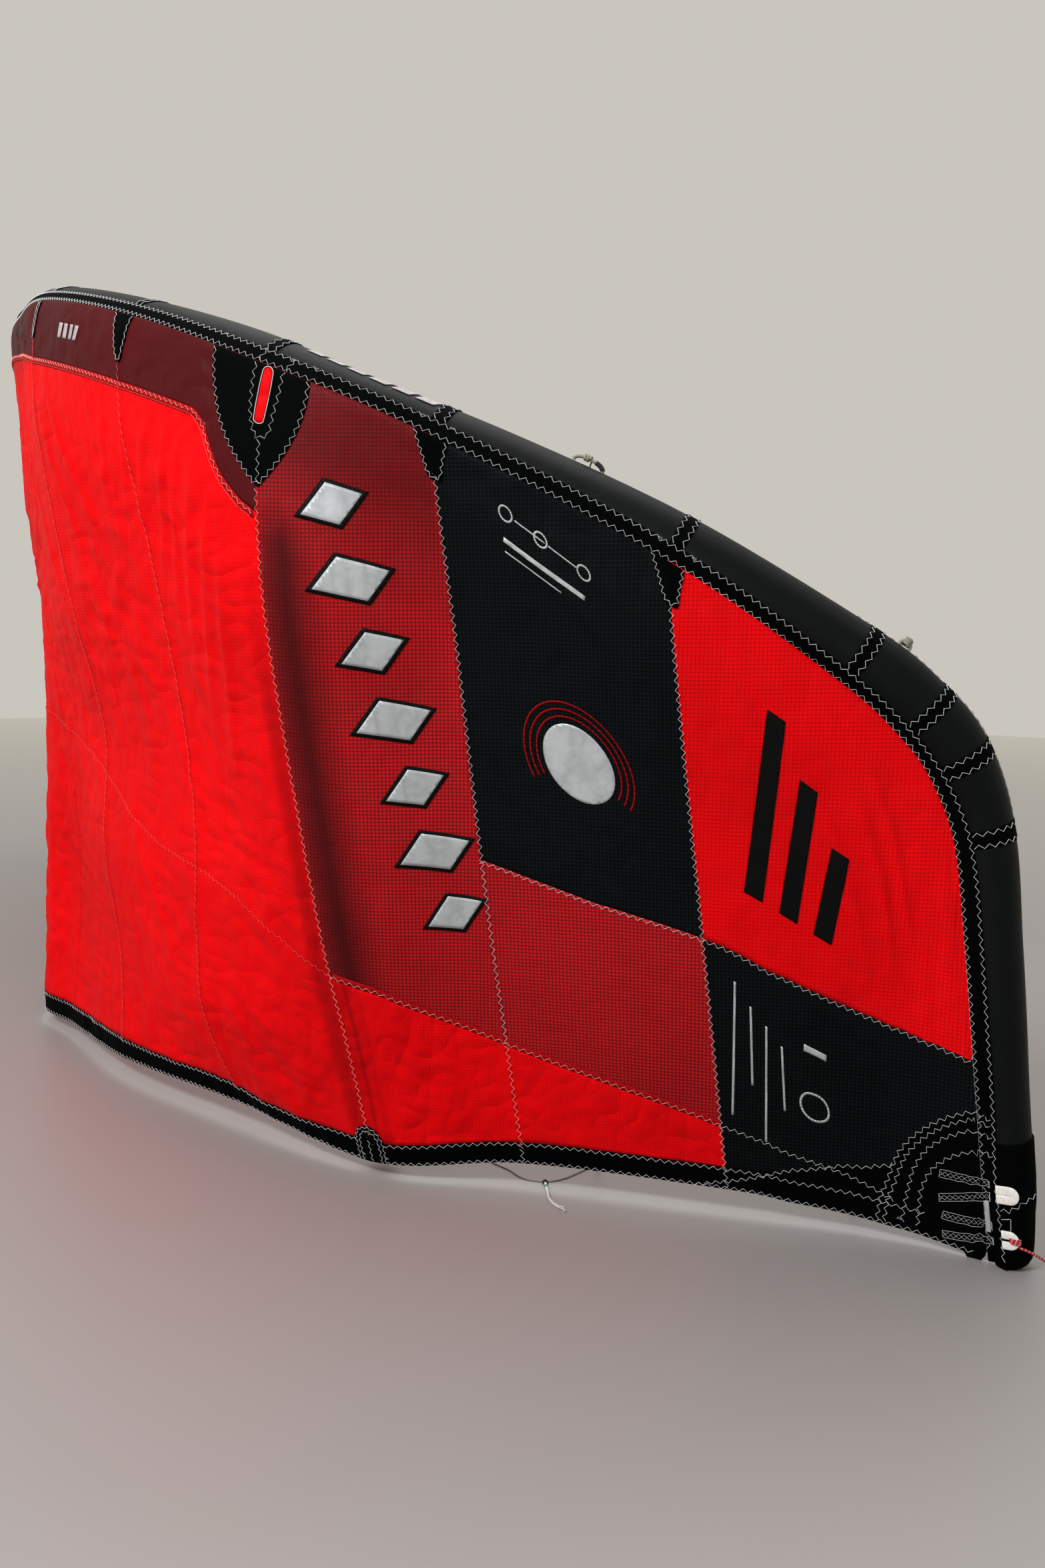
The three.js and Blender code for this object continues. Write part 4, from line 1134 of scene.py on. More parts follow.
def closed_skin(name, skin, along, material, replaces):
    """A tube that closes on itself, from places along it."""
    bm = bmesh.new()
    vertices, share, around = grid(bm, len(along) - 1, TUBE_SIDES)
    places = np.asarray(along)[np.rint(share * (len(along) - 1)).astype(int)]
    move(vertices, skin(places, 360.0 * around))
    lay_places(bm, np.stack([share * TUBE_CLOTH[0], around * TUBE_CLOTH[1]], axis=1))
    close_tubes(bm)
    return finish_mesh(name, bm, material, replaces)


def make_tubes():
    lengths = np.linspace(0, np.interp(CAP_START, FINE, LEAD_LENGTHS), 190)
    places = np.interp(lengths, LEAD_LENGTHS, FINE)
    for side, letter in SIDES:
        half = side * places
        half[0] = side * 1e-6
        closed_skin(f"leading_tube_{letter}_cloth", tube_skin, half, TUBE,
                    (f"leading_tube_{letter}",))


make_tubes()

# The cap's radius as a share of the tube's, by height
CAP_PROFILE = np.array([
    (0, .55), (.004, .68), (.01, .78), (.02, .86), (.035, .91), (.062, .95), (.09, .98),
    (.11, 1.02), (.15, 1.045),
])
CAP_SLEEVE = 0.045
CAP_ROUND = 0.03


def cap_ring(z):
    """The tip cap's ring at a height, with its middle and its radius."""
    ring = tube_ring(np.clip(place_at(z), TIP7 - 0.6, CORNER))
    scale = np.interp(z, CAP_PROFILE[:, 0], CAP_PROFILE[:, 1])[..., None]
    toward = ring["out"] * np.cos(ring["angle"]) + ring["up"] * np.sin(ring["angle"])
    return ring, ring["middle"] + toward * ring["radius"] * (1 - scale), ring["radius"] * scale


def cap_skin(height, degrees, lift=0.0):
    """Points on the tip cap, by their height and angle. A height below 0 is on the other half."""
    height, degrees = np.broadcast_arrays(np.asarray(height, float), np.asarray(degrees, float))
    side = np.where(np.signbit(height), -1.0, 1.0)
    z = np.abs(height)
    ring, middle, radius = cap_ring(z)
    angle = np.radians(degrees)[..., None]
    radial = ring["out"] * np.cos(angle) + ring["up"] * np.sin(angle)
    points = middle + radial * (radius + lift)
    points[..., 2] = np.where(z > CAP_ROUND, points[..., 2], z)
    return on_side(points, side)


def make_tip_caps():
    top = float(tube_ring(CAP_START)["middle"][2])
    heights = [np.linspace(top + CAP_SLEEVE, CAP_ROUND, 50), np.linspace(CAP_ROUND * 0.9, 0, 10)]
    heights = np.concatenate(heights)
    for side, letter in SIDES:
        closed_skin(f"tip_cap_{letter}_cloth", cap_skin, np.copysign(heights, side), TAPE,
                    (f"tip_cap_{letter}",))


make_tip_caps()

STRIP_END = 15.09
STRIP_LIFT = 0.0014
STRIP_THICKNESS = 0.0012


def make_seam_strips():
    lengths = np.linspace(0, LEAD_LENGTHS[-1], 420)
    places = np.interp(lengths, LEAD_LENGTHS, FINE)
    places[-1] = STRIP_END
    for side, letter in SIDES:
        def edges(across, down):
            u = places[np.rint(across * (len(places) - 1)).astype(int)]
            return side * u, GAP + (strip_width(u) - GAP) * down

        cloth_piece(f"seam_strip_{letter}_tape", strip_skin, edges, (len(places) - 1, 4),
                    STRIP_THICKNESS, TAPE, (f"seam_strip_{letter}",), lift=STRIP_LIFT)


make_seam_strips()

STRUT_CLEAR = 0.0021
# Name, side, place along the span, radius at the front and at the back, and the end's share of the chord
STRUT_ROWS = (
    ("strut_middle", 1, 0.0, .052, .034, 1.0075),
    ("strut_r", 1, 5.0, .05, .033, .998),
    ("strut_l", -1, 5.0, .05, .033, .998),
)


def strut_skin(side, u, front_radius, back_radius, reach):
    """Points on a strut, by their share of the chord and their angle. Its end is rounded."""
    def skin(v, degrees):
        v, degrees = np.broadcast_arrays(np.asarray(v, float), np.asarray(degrees, float))
        place = np.full_like(v, u)
        ending = np.clip((reach - v) / 0.02, 0, 1)
        radius = front_radius + (back_radius - front_radius) * np.minimum(v, 1)
        scale = 0.5 + 0.5 * np.sqrt(1 - (1 - ending) ** 2)
        out = outward(place, np.minimum(v, 0.999))
        ahead = unit(bare_surface(place, v + 0.01) - bare_surface(place, np.maximum(v - 0.01, 0)))
        across = unit(np.cross(ahead, out))
        normal = unit(np.cross(across, ahead))
        middle = bare_surface(place, v) - normal * (SHEET + STRUT_CLEAR + radius)[..., None]
        angle = np.radians(degrees)
        reach_out = normal * (radius * scale * np.cos(angle))[..., None]
        points = middle + reach_out + across * (radius * scale * np.sin(angle))[..., None]
        if u == 0:
            points[..., 2] = np.maximum(points[..., 2], 0.0)
        points[..., 0] *= side
        return points

    return skin


def make_struts():
    for name, side, u, front_radius, back_radius, reach in STRUT_ROWS:
        skin = strut_skin(side, u, front_radius, back_radius, reach)
        along = [np.linspace(0.005, reach - 0.02, 70), np.linspace(reach - 0.017, reach, 9)]
        closed_skin(f"{name}_cloth", skin, np.concatenate(along), TAPE, (name,))


make_struts()

# Patches sewn over the seams: distance from the tube or from the trailing edge, and half width
NARROW_TAB = np.array([
    (.001, .01), (.014, .01), (.028, .009), (.045, .008), (.064, .006), (.068, .0045), (.0705, .001),
])
WIDE_TAB = np.array([
    (.001, .029), (.014, .026), (.028, .0215), (.045, .017), (.058, .014), (.064, .012), (.067, .007),
])
BROAD_TAB = np.array([
    (.001, .031), (.014, .026), (.03, .022), (.05, .017), (.066, .012), (.075, .007), (.078, .001),
])
STRUT_END = np.array([(.001, .03), (.02, .031), (.045, .03), (.062, .023), (.072, .014), (.077, .003)])
PATCH_LIFT = 0.002
PATCH_THICKNESS = 0.0014
STRUT_PATCH_START = 0.0007
STRUT_PATCH_END = 0.134
STRUT_PATCH_MIDDLE = 5.01
# Name, place along the span, outline, and whether it starts from the trailing edge
TAB_ROWS = [
    ("tab1", SEAM1, NARROW_TAB, False),
    ("tab2", SEAM2, BROAD_TAB, False),
    ("tab3", SEAM3, WIDE_TAB, False),
    ("tab4", SEAM4, WIDE_TAB, False),
    ("strut_end_patch", STRUT, STRUT_END, True),
]


def patch_place(u, outline, distance, share, from_trailing):
    v = distance / chord_length(float(u))
    v = 1 - v if from_trailing else v
    half = np.interp(distance, outline[:, 0], outline[:, 1])
    return u + share * half * per_metre(np.full_like(v, u), v), v


def strut_patch_edges(v):
    share = v / STRUT_PATCH_END
    return STRUT_PATCH_MIDDLE - 0.305 * (1 - share**2.65), STRUT_PATCH_MIDDLE + 0.31 * (1 - share**1.65)


def make_patches():
    for (side, letter), (name, u, outline, from_trailing) in itertools.product(SIDES, TAB_ROWS):
        def edges(across, down):
            distance = outline[0, 0] + (outline[-1, 0] - outline[0, 0]) * down
            a, b = patch_place(u, outline, distance, 2 * across - 1, from_trailing)
            return side * a, b

        cloth_piece(f"{name}_{letter}_tape", canopy, edges, (10, 24), PATCH_THICKNESS, TAPE,
                    (f"{name}_{letter}",), PATCH_LIFT)
    for side, letter in SIDES:
        def edges(across, down):
            v = STRUT_PATCH_START + (STRUT_PATCH_END - STRUT_PATCH_START) * down
            left, right = strut_patch_edges(v)
            return side * (left + (right - left) * across), v

        cloth_piece(f"strut_patch_{letter}_tape", canopy, edges, (40, 40), PATCH_THICKNESS, TAPE,
                    (f"strut_patch_{letter}",), PATCH_LIFT)


make_patches()

SLOT = {"top": (5.067, .003), "bottom": (5.013, .067), "wide": .0105, "narrow": .0066}
SLOT_SIDES = 40
SLOT_MIDDLE = 5.04
# Metres for each step of u there
SLOT_STEP = 0.316
SLOT_THICKNESS = 0.0004
ON_PATCH = PATCH_LIFT + 0.0006


def slot_skin(side, grown, lift):
    """A long rounded slot on the strut patch: from its middle line outwards, round its edge."""
    (u0, v0), (u1, v1) = SLOT["top"], SLOT["bottom"]
    reach = (v1 - v0) * float(chord_length(SLOT_MIDDLE)) / 2

    def place(share, around):
        angle = 2 * np.pi * around
        down = np.sin(angle)
        half = SLOT["wide"] + (SLOT["narrow"] - SLOT["wide"]) * (down + 1) / 2 + grown
        straight = np.clip(down * 2.6, -1, 1) * (reach - SLOT["wide"])
        x, y = half * np.cos(angle) * share, (straight + half * down) * share
        middle = (y / reach + 1) / 2
        u = u0 + (u1 - u0) * middle + x / SLOT_STEP
        return canopy(side * u, v0 + (v1 - v0) * middle, lift)

    return place


def make_slots():
    for side, letter in SIDES:
        bm = bmesh.new()
        vertices, share, around = grid(bm, 5, SLOT_SIDES)
        move(vertices, slot_skin(side, 0.0, ON_PATCH)(share, around))
        bmesh.ops.remove_doubles(bm, verts=bm.verts[:], dist=1e-6)
        face_along(bm, bm.faces[:], [outward(side * SLOT_MIDDLE, .035)] * len(bm.faces))
        thicken(finish_mesh(f"slot_{letter}_cloth", bm, RED), SLOT_THICKNESS)
        rim = slot_skin(side, 0.0016, PATCH_LIFT + 0.001)(np.ones(61), np.linspace(0, 1, 61))
        cord_piece(f"slot_rim_{letter}_thread", [rim], 0.0014, THREAD, sides=6)


make_slots()

# Bands across the tube at its seams, from the strip round to the canopy's inner side
BAND_WIDTH = 0.024
BAND_LIFT = 0.0014
BAND_THICKNESS = 0.001
BAND_END = 368
BAND_ROW = 0.0085


def band_start(u):
    row = section(float(u))[0]
    return row[15] + math.degrees((float(strip_width(u)) - row[16]) / row[14])


def along_tube(u, distance):
    return np.interp(np.interp(u, FINE, LEAD_LENGTHS) + distance, LEAD_LENGTHS, FINE)


def make_bands():
    for (side, letter), u in itertools.product(SIDES, BAND_PLACES):
        first, last = along_tube(u, -BAND_WIDTH / 2 if u else 0.0), along_tube(u, BAND_WIDTH / 2)
        start = band_start(u)

        def edges(across, down):
            place = np.maximum(first + (last - first) * across, 1e-6)
            return side * place, start + (BAND_END - start) * down

        cloth_piece(f"tube_band{u}_{letter}_tape", tube_skin, edges, (4, 60), BAND_THICKNESS, TAPE,
                    lift=BAND_LIFT)


make_bands()

# Tip: the canopy and, where v is below 0, the seam strip, at distances of minus v times the chord
TIP_PATCH_LIFT = 0.0012


def tip_skin(u, v, lift=0.0):
    u, v = np.broadcast_arrays(np.asarray(u, float), np.asarray(v, float))
    distance = np.clip(-v * chord_length(u), GAP, strip_width(u) - 0.0008)
    on_strip = strip_skin(u, distance, STRIP_LIFT + lift)
    return np.where((v < 0)[..., None], on_strip, canopy(u, np.maximum(v, 0), TIP_PATCH_LIFT + lift))


REINFORCED = [
    (6.8, .998), (6.95, .987), (7.17, .974), (7.57, .951), (8.03, .929), (9.25, .903),
    (10.62, .873), (11.1, .857), (11.75, .804), (11.81, .793), (11.87, .739), (12.05, .672),
    (12.31, .58), (12.65, .442), (13.03, .257), (13.3, .1), (13.46, .001),
]
ARCS = [
    [(13.5, -.12), (13.47, -.02), (13.03, .257), (12.65, .442), (12.31, .58), (12.05, .672),
     (11.87, .739), (11.81, .793), (11.79, .849), (11.73, .907), (11.8, .987)],
    [(13.68, -.14), (13.64, .008), (13.12, .333), (12.78, .496), (12.55, .603), (12.41, .681),
     (12.33, .756), (12.35, .821), (12.38, .898), (12.43, .965)],
    [(13.87, -.17), (13.82, .048), (13.4, .33), (13.05, .515), (12.8, .635), (12.69, .716),
     (12.65, .788), (12.73, .869), (12.83, .956)],
]
ARC_PAIR = -0.0115
# Flat tapes inside the tip that hold the webbing loops: the places of both long edges
LEGS = np.array([
    [[(12.92, .61), (13.22, .53), (13.52, .425), (13.84, .255), (14.12, .02), (14.14, -.18)],
     [(12.94, .655), (13.24, .585), (13.54, .485), (13.88, .315), (14.2, .035), (14.22, -.2)]],
    [[(13.06, .725), (13.38, .635), (13.7, .505), (14.02, .295), (14.27, .02), (14.25, -.2)],
     [(13.14, .765), (13.44, .685), (13.78, .56), (14.12, .34), (14.38, .02), (14.37, -.23)]],
    [[(13.32, .78), (13.62, .72), (13.94, .625), (14.26, .455), (14.6, .04), (14.61, -.34)],
     [(13.32, .84), (13.62, .8), (13.92, .73), (14.26, .6), (14.58, .315), (14.73, -.48)]],
    [[(13.44, .905), (13.76, .86), (14.1, .775), (14.46, .595), (14.79, .02), (14.78, -.56)],
     [(13.52, .96), (13.84, .93), (14.18, .87), (14.54, .74), (14.87, .15), (14.88, -.8)]],
])
LEG_LIFT = 0.001
LEG_THICKNESS = 0.0009
TIP_PATCH_THICKNESS = 0.0008
LABEL_THICKNESS = 0.0004


def leg_skin(leg):
    """Points on a leg, by the share of its length, below 0 on the other half, and of its width."""
    steps = np.linspace(0, 1, LEGS.shape[2])

    def skin(share, across, lift=0.0):
        share, across = np.broadcast_arrays(np.asarray(share, float), np.asarray(across, float))
        place = [
            np.interp(np.abs(share), steps, leg[0, :, k]) * (1 - across)
            + np.interp(np.abs(share), steps, leg[1, :, k]) * across
            for k in (0, 1)
        ]
        return tip_skin(np.where(np.signbit(share), -1.0, 1.0) * place[0], place[1], LEG_LIFT + lift)

    return skin


def make_tips():
    places, tops = np.array(REINFORCED).T
    middle_lengths = (TRAIL_LENGTHS + LEAD_LENGTHS) / 2
    first, last = np.interp([places[0], TIP_END], FINE, middle_lengths)
    for side, letter in SIDES:
        def edges(across, down):
            u = np.interp(first + (last - first) * across, middle_lengths, FINE)
            top = np.interp(u, places, tops)
            bottom = 0.999 + 0.35 * np.clip((u - 14.3) / 0.6, 0, 1)
            return side * u, top + (bottom - top) * down

        cloth_piece(f"tip_patch_{letter}_tape", canopy, edges, (150, 40), TIP_PATCH_THICKNESS, TAPE,
                    lift=TIP_PATCH_LIFT)
        for number, leg in enumerate(LEGS, 1):
            def along(across, down):
                return np.copysign(across, side), down

            cloth_piece(f"tip_leg{number}_{letter}_tape", leg_skin(leg), along, (40, 4), LEG_THICKNESS,
                        TAPE)

        def label(across, down):
            return side * (14.38 + 0.36 * down), 0.0016 + 0.008 * across

        cloth_piece(f"tip_label_{letter}_film", strip_skin, label, (4, 30), LABEL_THICKNESS, SILVER,
                    lift=STRIP_LIFT + 0.0018)


make_tips()

# Webbing loops: a tape that turns back on itself, pressed flat on the tip cap
WEBBING = {"reach": .0105, "thickness": .0046}
WEBBING_ROWS = (("high", .13, .0072, .0146), ("low", .057, .0085, .0128))
WEBBING_TALL = 0.03
TIP_HITCH_CORD = 0.0032
HITCH_CLEAR = 0.0014
WEBBING_BEND = 14


def webbing_frame(height):
    ring, middle, _ = cap_ring(np.array(height))
    _, higher, radius = cap_ring(np.array(height + WEBBING_TALL / 2))
    clear = float(dot(higher - middle, ring["out"])[0] + radius[0]) + GAP
    out, up = ring["out"], ring["up"]
    return middle + out * clear, up, np.cross(out, up), out


def make_webbing_loops():
    for (side, letter), (name, height, spacing, width) in itertools.product(SIDES, WEBBING_ROWS):
        origin, up, across, out = webbing_frame(height)
        bend = WEBBING["reach"] + 0.0015 - spacing
        place = place_at(height)
        start = float(dot(strip_skin(place, float(strip_width(place))) - origin, up)[0]) - 0.002
        turn = np.linspace(np.pi / 2, -np.pi / 2, WEBBING_BEND)
        flat = [(x, spacing) for x in np.linspace(start, bend - 0.004, 8)]
        flat += [(bend + spacing * math.cos(a), spacing * math.sin(a)) for a in turn]
        flat += [(x, -spacing) for x in np.linspace(bend - 0.004, start, 8)]
        raised = origin + out * WEBBING["thickness"] * 0.55
        line = np.array([raised + up * x + across * y for x, y in flat])
        line[:, 0] *= side
        ups = np.broadcast_to(out * np.array([side, 1, 1]), line.shape)
        bm = bmesh.new()
        _, places = tube_piece(bm, line, ups, width, WEBBING["thickness"], 20, 0.55)
        lay_places(bm, places)
        close_tubes(bm)
        finish_mesh(f"webbing_loop_{name}_{letter}_tape", bm, WEBBING_TAPE,
                    (f"webbing_loop_{name}_{letter}",))
        if name == "low" and side > 0:
            over = up * (width / 2 + HITCH_CLEAR)
            through = out * (WEBBING["thickness"] / 2 + HITCH_CLEAR)
            turns = coil(raised + up * (bend + spacing), across, over, through, 3, 0.003)
            cord_piece("tip_hitch_cord", [turns], TIP_HITCH_CORD, RED_CORD)


make_webbing_loops()

# Sewing: zigzag rows of thread, grey on black cloth and pink on red
THREAD_SIZE = 0.001
ZIGZAG_STEP = 0.0075
ZIGZAG_SWING = 0.0032
SEWN_LIFT = 0.0014
DENSE = 400
SEWN = {}
ON_STRIP = STRIP_LIFT + 0.0006


def resample(skin, a, b, step):
    """Places at equal steps along a line on a skin, from the places that it goes through."""
    a, b = np.broadcast_arrays(np.asarray(a, float), np.asarray(b, float))
    rough = np.linspace(0, 1, len(a))
    fine = np.linspace(0, 1, DENSE)
    a, b = np.interp(fine, rough, a), np.interp(fine, rough, b)
    lengths = np.concatenate([[0], np.cumsum(np.linalg.norm(np.diff(skin(a, b), axis=0), axis=1))])
    at = np.linspace(0, lengths[-1], max(2, round(lengths[-1] / step)) + 1)
    return np.interp(at, lengths, a), np.interp(at, lengths, b)


def zigzag(skin, side, a, b, offset, lift, swing, step):
    """A zigzag row along a line on a skin, and the directions away from the skin."""
    a, b = resample(skin, a, b, step)
    points = skin(a, b, lift)
    out = unit(skin(a, b, lift + 0.001) - points)
    across = np.cross(unit(np.gradient(points, axis=0)), out) * side
    return points + across * (offset + swing * (-1.0) ** np.arange(len(a)))[:, None], out


def sew(colour, skin, line, offset=0.0, lift=SEWN_LIFT, swing=ZIGZAG_SWING, step=ZIGZAG_STEP):
    a, b = np.asarray(line, float).T
    for side, letter in SIDES:
        row = zigzag(skin, side, np.copysign(a, side), b, offset, lift, swing, step)
        SEWN.setdefault((colour, letter), []).append(row)


def level(start, end, edge, count=60):
    """A line along the span at an edge's share of the chord."""
    u = np.linspace(start, end, count)
    return np.stack([u, edge(u)], axis=1)


def inset_outline(u, outline, inset, from_trailing):
    """A line a little inside a patch's edge, down one side and back up the other."""
    inner = np.stack([outline[:, 0], np.maximum(outline[:, 1] - inset, 0.0)], axis=1)
    distance = np.linspace(0.002, outline[-1, 0] - inset, 24)
    ends = np.clip((distance[-1] - distance) / 0.006, 0.05, 1) ** 0.5
    lines = []
    for share in (-1, 1):
        lines.append(np.stack(patch_place(u, inner, distance, share * ends, from_trailing), axis=1))
    return np.vstack([lines[0], lines[1][::-1]])


def bartack(skin, u, v, lift):
    """A short bar of tight stitches."""
    width = 0.006 * float(per_metre(np.array([float(u)]), np.array([max(v, 0.0)]))[0])
    sew("grey", skin, [(u - width / 2, v), (u + width / 2, v)], lift=lift, swing=0.0016, step=0.0008)


TONGUE = [
    (4.985, .002), (4.974, .014), (4.966, .034), (4.963, .052), (4.97, .063), (4.987, .074),
    (5.005, .08), (5.035, .08), (5.074, .073), (5.095, .052), (5.138, .019), (5.155, .002),
]


def sew_canopy():
    edge = float(lower_seam(6.0)), float(lower_seam(7.0))
    for u in (SEAM1, SEAM2):
        sew("red", canopy, [(u, .047), (u, .975)], swing=0.0022)
    sew("red", canopy, [(.02, .05), (.02, .975)], swing=0.0022)
    sew("pink", canopy, [(STRUT, .136), (STRUT, .962)], offset=-0.001)
    sew("grey", canopy, [(SEAM3, .045), (SEAM3, edge[0])], offset=-0.001)
    sew("pink", canopy, [(SEAM3, edge[0]), (SEAM3, .975)])
    sew("grey", canopy, [(SEAM3, .976), (SEAM3, .997)])
    sew("grey", canopy, [(SEAM4, .055), (SEAM4, .998)], offset=0.001)
    sew("grey", canopy, level(SEAM3, TIP_TOP_END, upper_seam, 200), offset=0.003)
    sew("pink", canopy, level(STRUT, SEAM4, lower_seam), offset=-0.004, lift=0.0022)
    sew("pink", canopy, level(0, 4.98, scrim_edge, 200), offset=0.004, lift=0.0022, swing=0.0026)
    sew("red", canopy, level(0, 4.98, scrim_edge, 200), offset=0.0105, lift=0.0022, swing=0.0004)
    sew("red", canopy, CURVED_SEAM, swing=0.0026)
    sew("grey", canopy, LOWER_CONTINUED)
    sew("grey", canopy, level(0.0, 14.6, lambda u: 1 - 0.004 / chord_length(u), 300))
    sew("grey", canopy, level(0.0, 12.9, lambda u: band_top(u) + 0.004 / chord_length(u), 300))


def sew_strip_and_tube():
    sew("grey", strip_skin, [(0, 0.0026), (14.95, 0.0026)], lift=ON_STRIP)
    sew("grey", strip_skin, level(0, 15.0, lambda u: strip_width(u) - 0.0028, 300), lift=ON_STRIP)
    for u in BAND_PLACES:
        start = band_start(u)
        for offset in (-BAND_ROW, BAND_ROW):
            if u or offset > 0:
                at = along_tube(u, offset)
                sew("grey", tube_skin, [(at, start + 2), (at, 200)], lift=BAND_LIFT + 0.0006)
    closing = [(7.85, 80), (9, 80), (10, 82), (11, 84)]
    sew("grey", tube_skin, closing, offset=-0.003, lift=0.0008)
    sew("grey", tube_skin, closing, offset=0.003, lift=0.0008, swing=0.002)


def sew_patches():
    for _, u, outline, from_trailing in TAB_ROWS:
        border = inset_outline(u, outline, 0.0026, from_trailing)
        sew("grey", canopy, border, lift=ON_PATCH, swing=0.0022, step=0.006)
    inner = inset_outline(STRUT, STRUT_END, 0.011, True)
    sew("grey", canopy, inner, lift=ON_PATCH, swing=0.002, step=0.006)
    sew("grey", canopy, [(STRUT, .966), (STRUT, .997)], lift=ON_PATCH, swing=0.002, step=0.006)
    v = np.linspace(0.002, STRUT_PATCH_END - 0.004, 40)
    left, right = strut_patch_edges(v)
    left, right = np.stack([left + 0.009, v], axis=1), np.stack([right - 0.009, v], axis=1)
    sew("grey", canopy, np.vstack([left, right[::-1]]), lift=ON_PATCH)
    sew("grey", canopy, TONGUE, lift=ON_PATCH)
    sew("grey", canopy, [(5.02, .082), (5.012, .13)], lift=ON_PATCH)
    for start, end in ((4.987, 4.992), (5.158, 5.175)):
        sew("grey", strip_skin, [(start, .001), (end, .022)], lift=ON_STRIP)
    for u in (4.72, 4.987, 5.163, 5.31, 5.93, 6.07, 6.93, 7.09):
        bartack(strip_skin, u, 0.0225, ON_STRIP + 0.0004)
    bartack(canopy, 4.94, .99, 0.002)
    bartack(canopy, 5.1, .99, 0.002)
    bartack(canopy, 12.35, .955, 0.0032)


# Share of a leg's width, swing and step of its long rows, and the two rows round the tip cap
LEG_ROWS = ((0.07, 0.0, 0.01), (0.93, 0.0, 0.01), (0.5, 0.004, 0.009), (0.5, -0.004, 0.009))
CAP_ROW = [(.104, -21), (.104, 4), (.111, 23), (.119, 45), (.123, 74), (.123, 110)]
CAP_CORNER = [(.088, -22), (.092, 10), (.0915, 10.5), (.072, 9)]


def sew_tips():
    on_tip = 0.0008
    sew("grey", tip_skin, REINFORCED[:10], lift=on_tip)
    sew("grey", tip_skin, ARCS[0], lift=on_tip)
    sew("grey", tip_skin, ARCS[0], offset=ARC_PAIR, lift=on_tip)
    sew("grey", tip_skin, ARCS[1], lift=on_tip)
    sew("grey", tip_skin, ARCS[2], lift=on_tip)
    for leg in LEGS:
        skin = leg_skin(leg)
        for share, swing, step in LEG_ROWS:
            sew("fine", skin, [(0.03, share), (0.97, share)], lift=0.0005, swing=swing, step=step)
        sew("fine", skin, [(0.03, 0.08), (0.031, 0.92)], lift=0.0005, swing=0.0, step=0.006)
        sew("grey", skin, [(0.96, 0.1), (0.962, 0.9)], lift=0.001, swing=0.0012, step=0.0012)
    sew("grey", cap_skin, CAP_ROW, lift=0.0006)
    sew("grey", cap_skin, CAP_CORNER, lift=0.0006, swing=0.0003, step=0.003)


THREADS = {
    "grey": (THREAD, "grey_cord", THREAD_SIZE),
    "fine": (THREAD, "grey_cord", THREAD_SIZE * 0.6),
    "pink": (PINK_THREAD, "white_cord", THREAD_SIZE),
    "red": (RED_THREAD, "red_cord", THREAD_SIZE),
}


def make_stitches():
    sew_canopy()
    sew_strip_and_tube()
    sew_patches()
    sew_tips()
    for (colour, letter), rows in SEWN.items():
        bm = bmesh.new()
        material, slot, size = THREADS[colour]
        for points, out in rows:
            tube_piece(bm, points, out, size, size, 4)
        close_tubes(bm)
        finish_mesh(f"stitches_{colour}_{letter}", bm, material, smooth=False)


make_stitches()

# Narrow bands of doubled cloth beside the scrim's edge and the lower seam
OVERLAP = 0.0125
OVERLAP_LIFT = 0.0012
OVERLAP_THICKNESS = 0.0006
# Name, from and to along the span, the edge, from and to beside it, and cells along it
OVERLAP_ROWS = (
    ("scrim_overlap", 0.0, 4.98, scrim_edge, 0.0, OVERLAP, 300),
    ("low_overlap", 5.02, 7, lower_seam, -OVERLAP, 0.0, 110),
)


def make_overlaps():
    for (side, letter), row in itertools.product(SIDES, OVERLAP_ROWS):
        name, start, end, edge, first, last, count = row

        def edges(across, down):
            u = start + (end - start) * across
            return side * u, edge(u) + (first + (last - first) * down) / chord_length(u)

        cloth_piece(f"{name}_{letter}_cloth", canopy, edges, (count, 2), OVERLAP_THICKNESS, DEEP_RED,
                    lift=OVERLAP_LIFT)


make_overlaps()

# Printed shapes of thin film, flat outlines in metres along the span and down the chord
def slanted(width, height, slant):
    x, y = width / 2, height / 2
    return [(-x + slant, -y), (x + slant, -y), (x - slant, y), (-x - slant, y)]


def bar(start, end, width):
    """The outline of a straight line from one place to another."""
    (x0, y0), (x1, y1) = start, end
    length = math.hypot(x1 - x0, y1 - y0)
    x, y = (y1 - y0) / length * width / 2, -(x1 - x0) / length * width / 2
    return [(x0 + x, y0 + y), (x1 + x, y1 + y), (x1 - x, y1 - y), (x0 - x, y0 - y)]


def ring_outlines(radius, width, count=24, start=0.0, end=360.0):
    """A ring or an arc as a row of short flat outlines."""
    angles = np.radians(np.linspace(start, end, count + 1))
    inner, outer = radius - width / 2, radius + width / 2
    return [
        [(inner * math.cos(a), inner * math.sin(a)), (outer * math.cos(a), outer * math.sin(a)),
         (outer * math.cos(b), outer * math.sin(b)), (inner * math.cos(b), inner * math.sin(b))]
        for a, b in zip(angles, angles[1:])
    ]


FILM_CELL = 0.006
FILM_THICKNESS = 0.0003


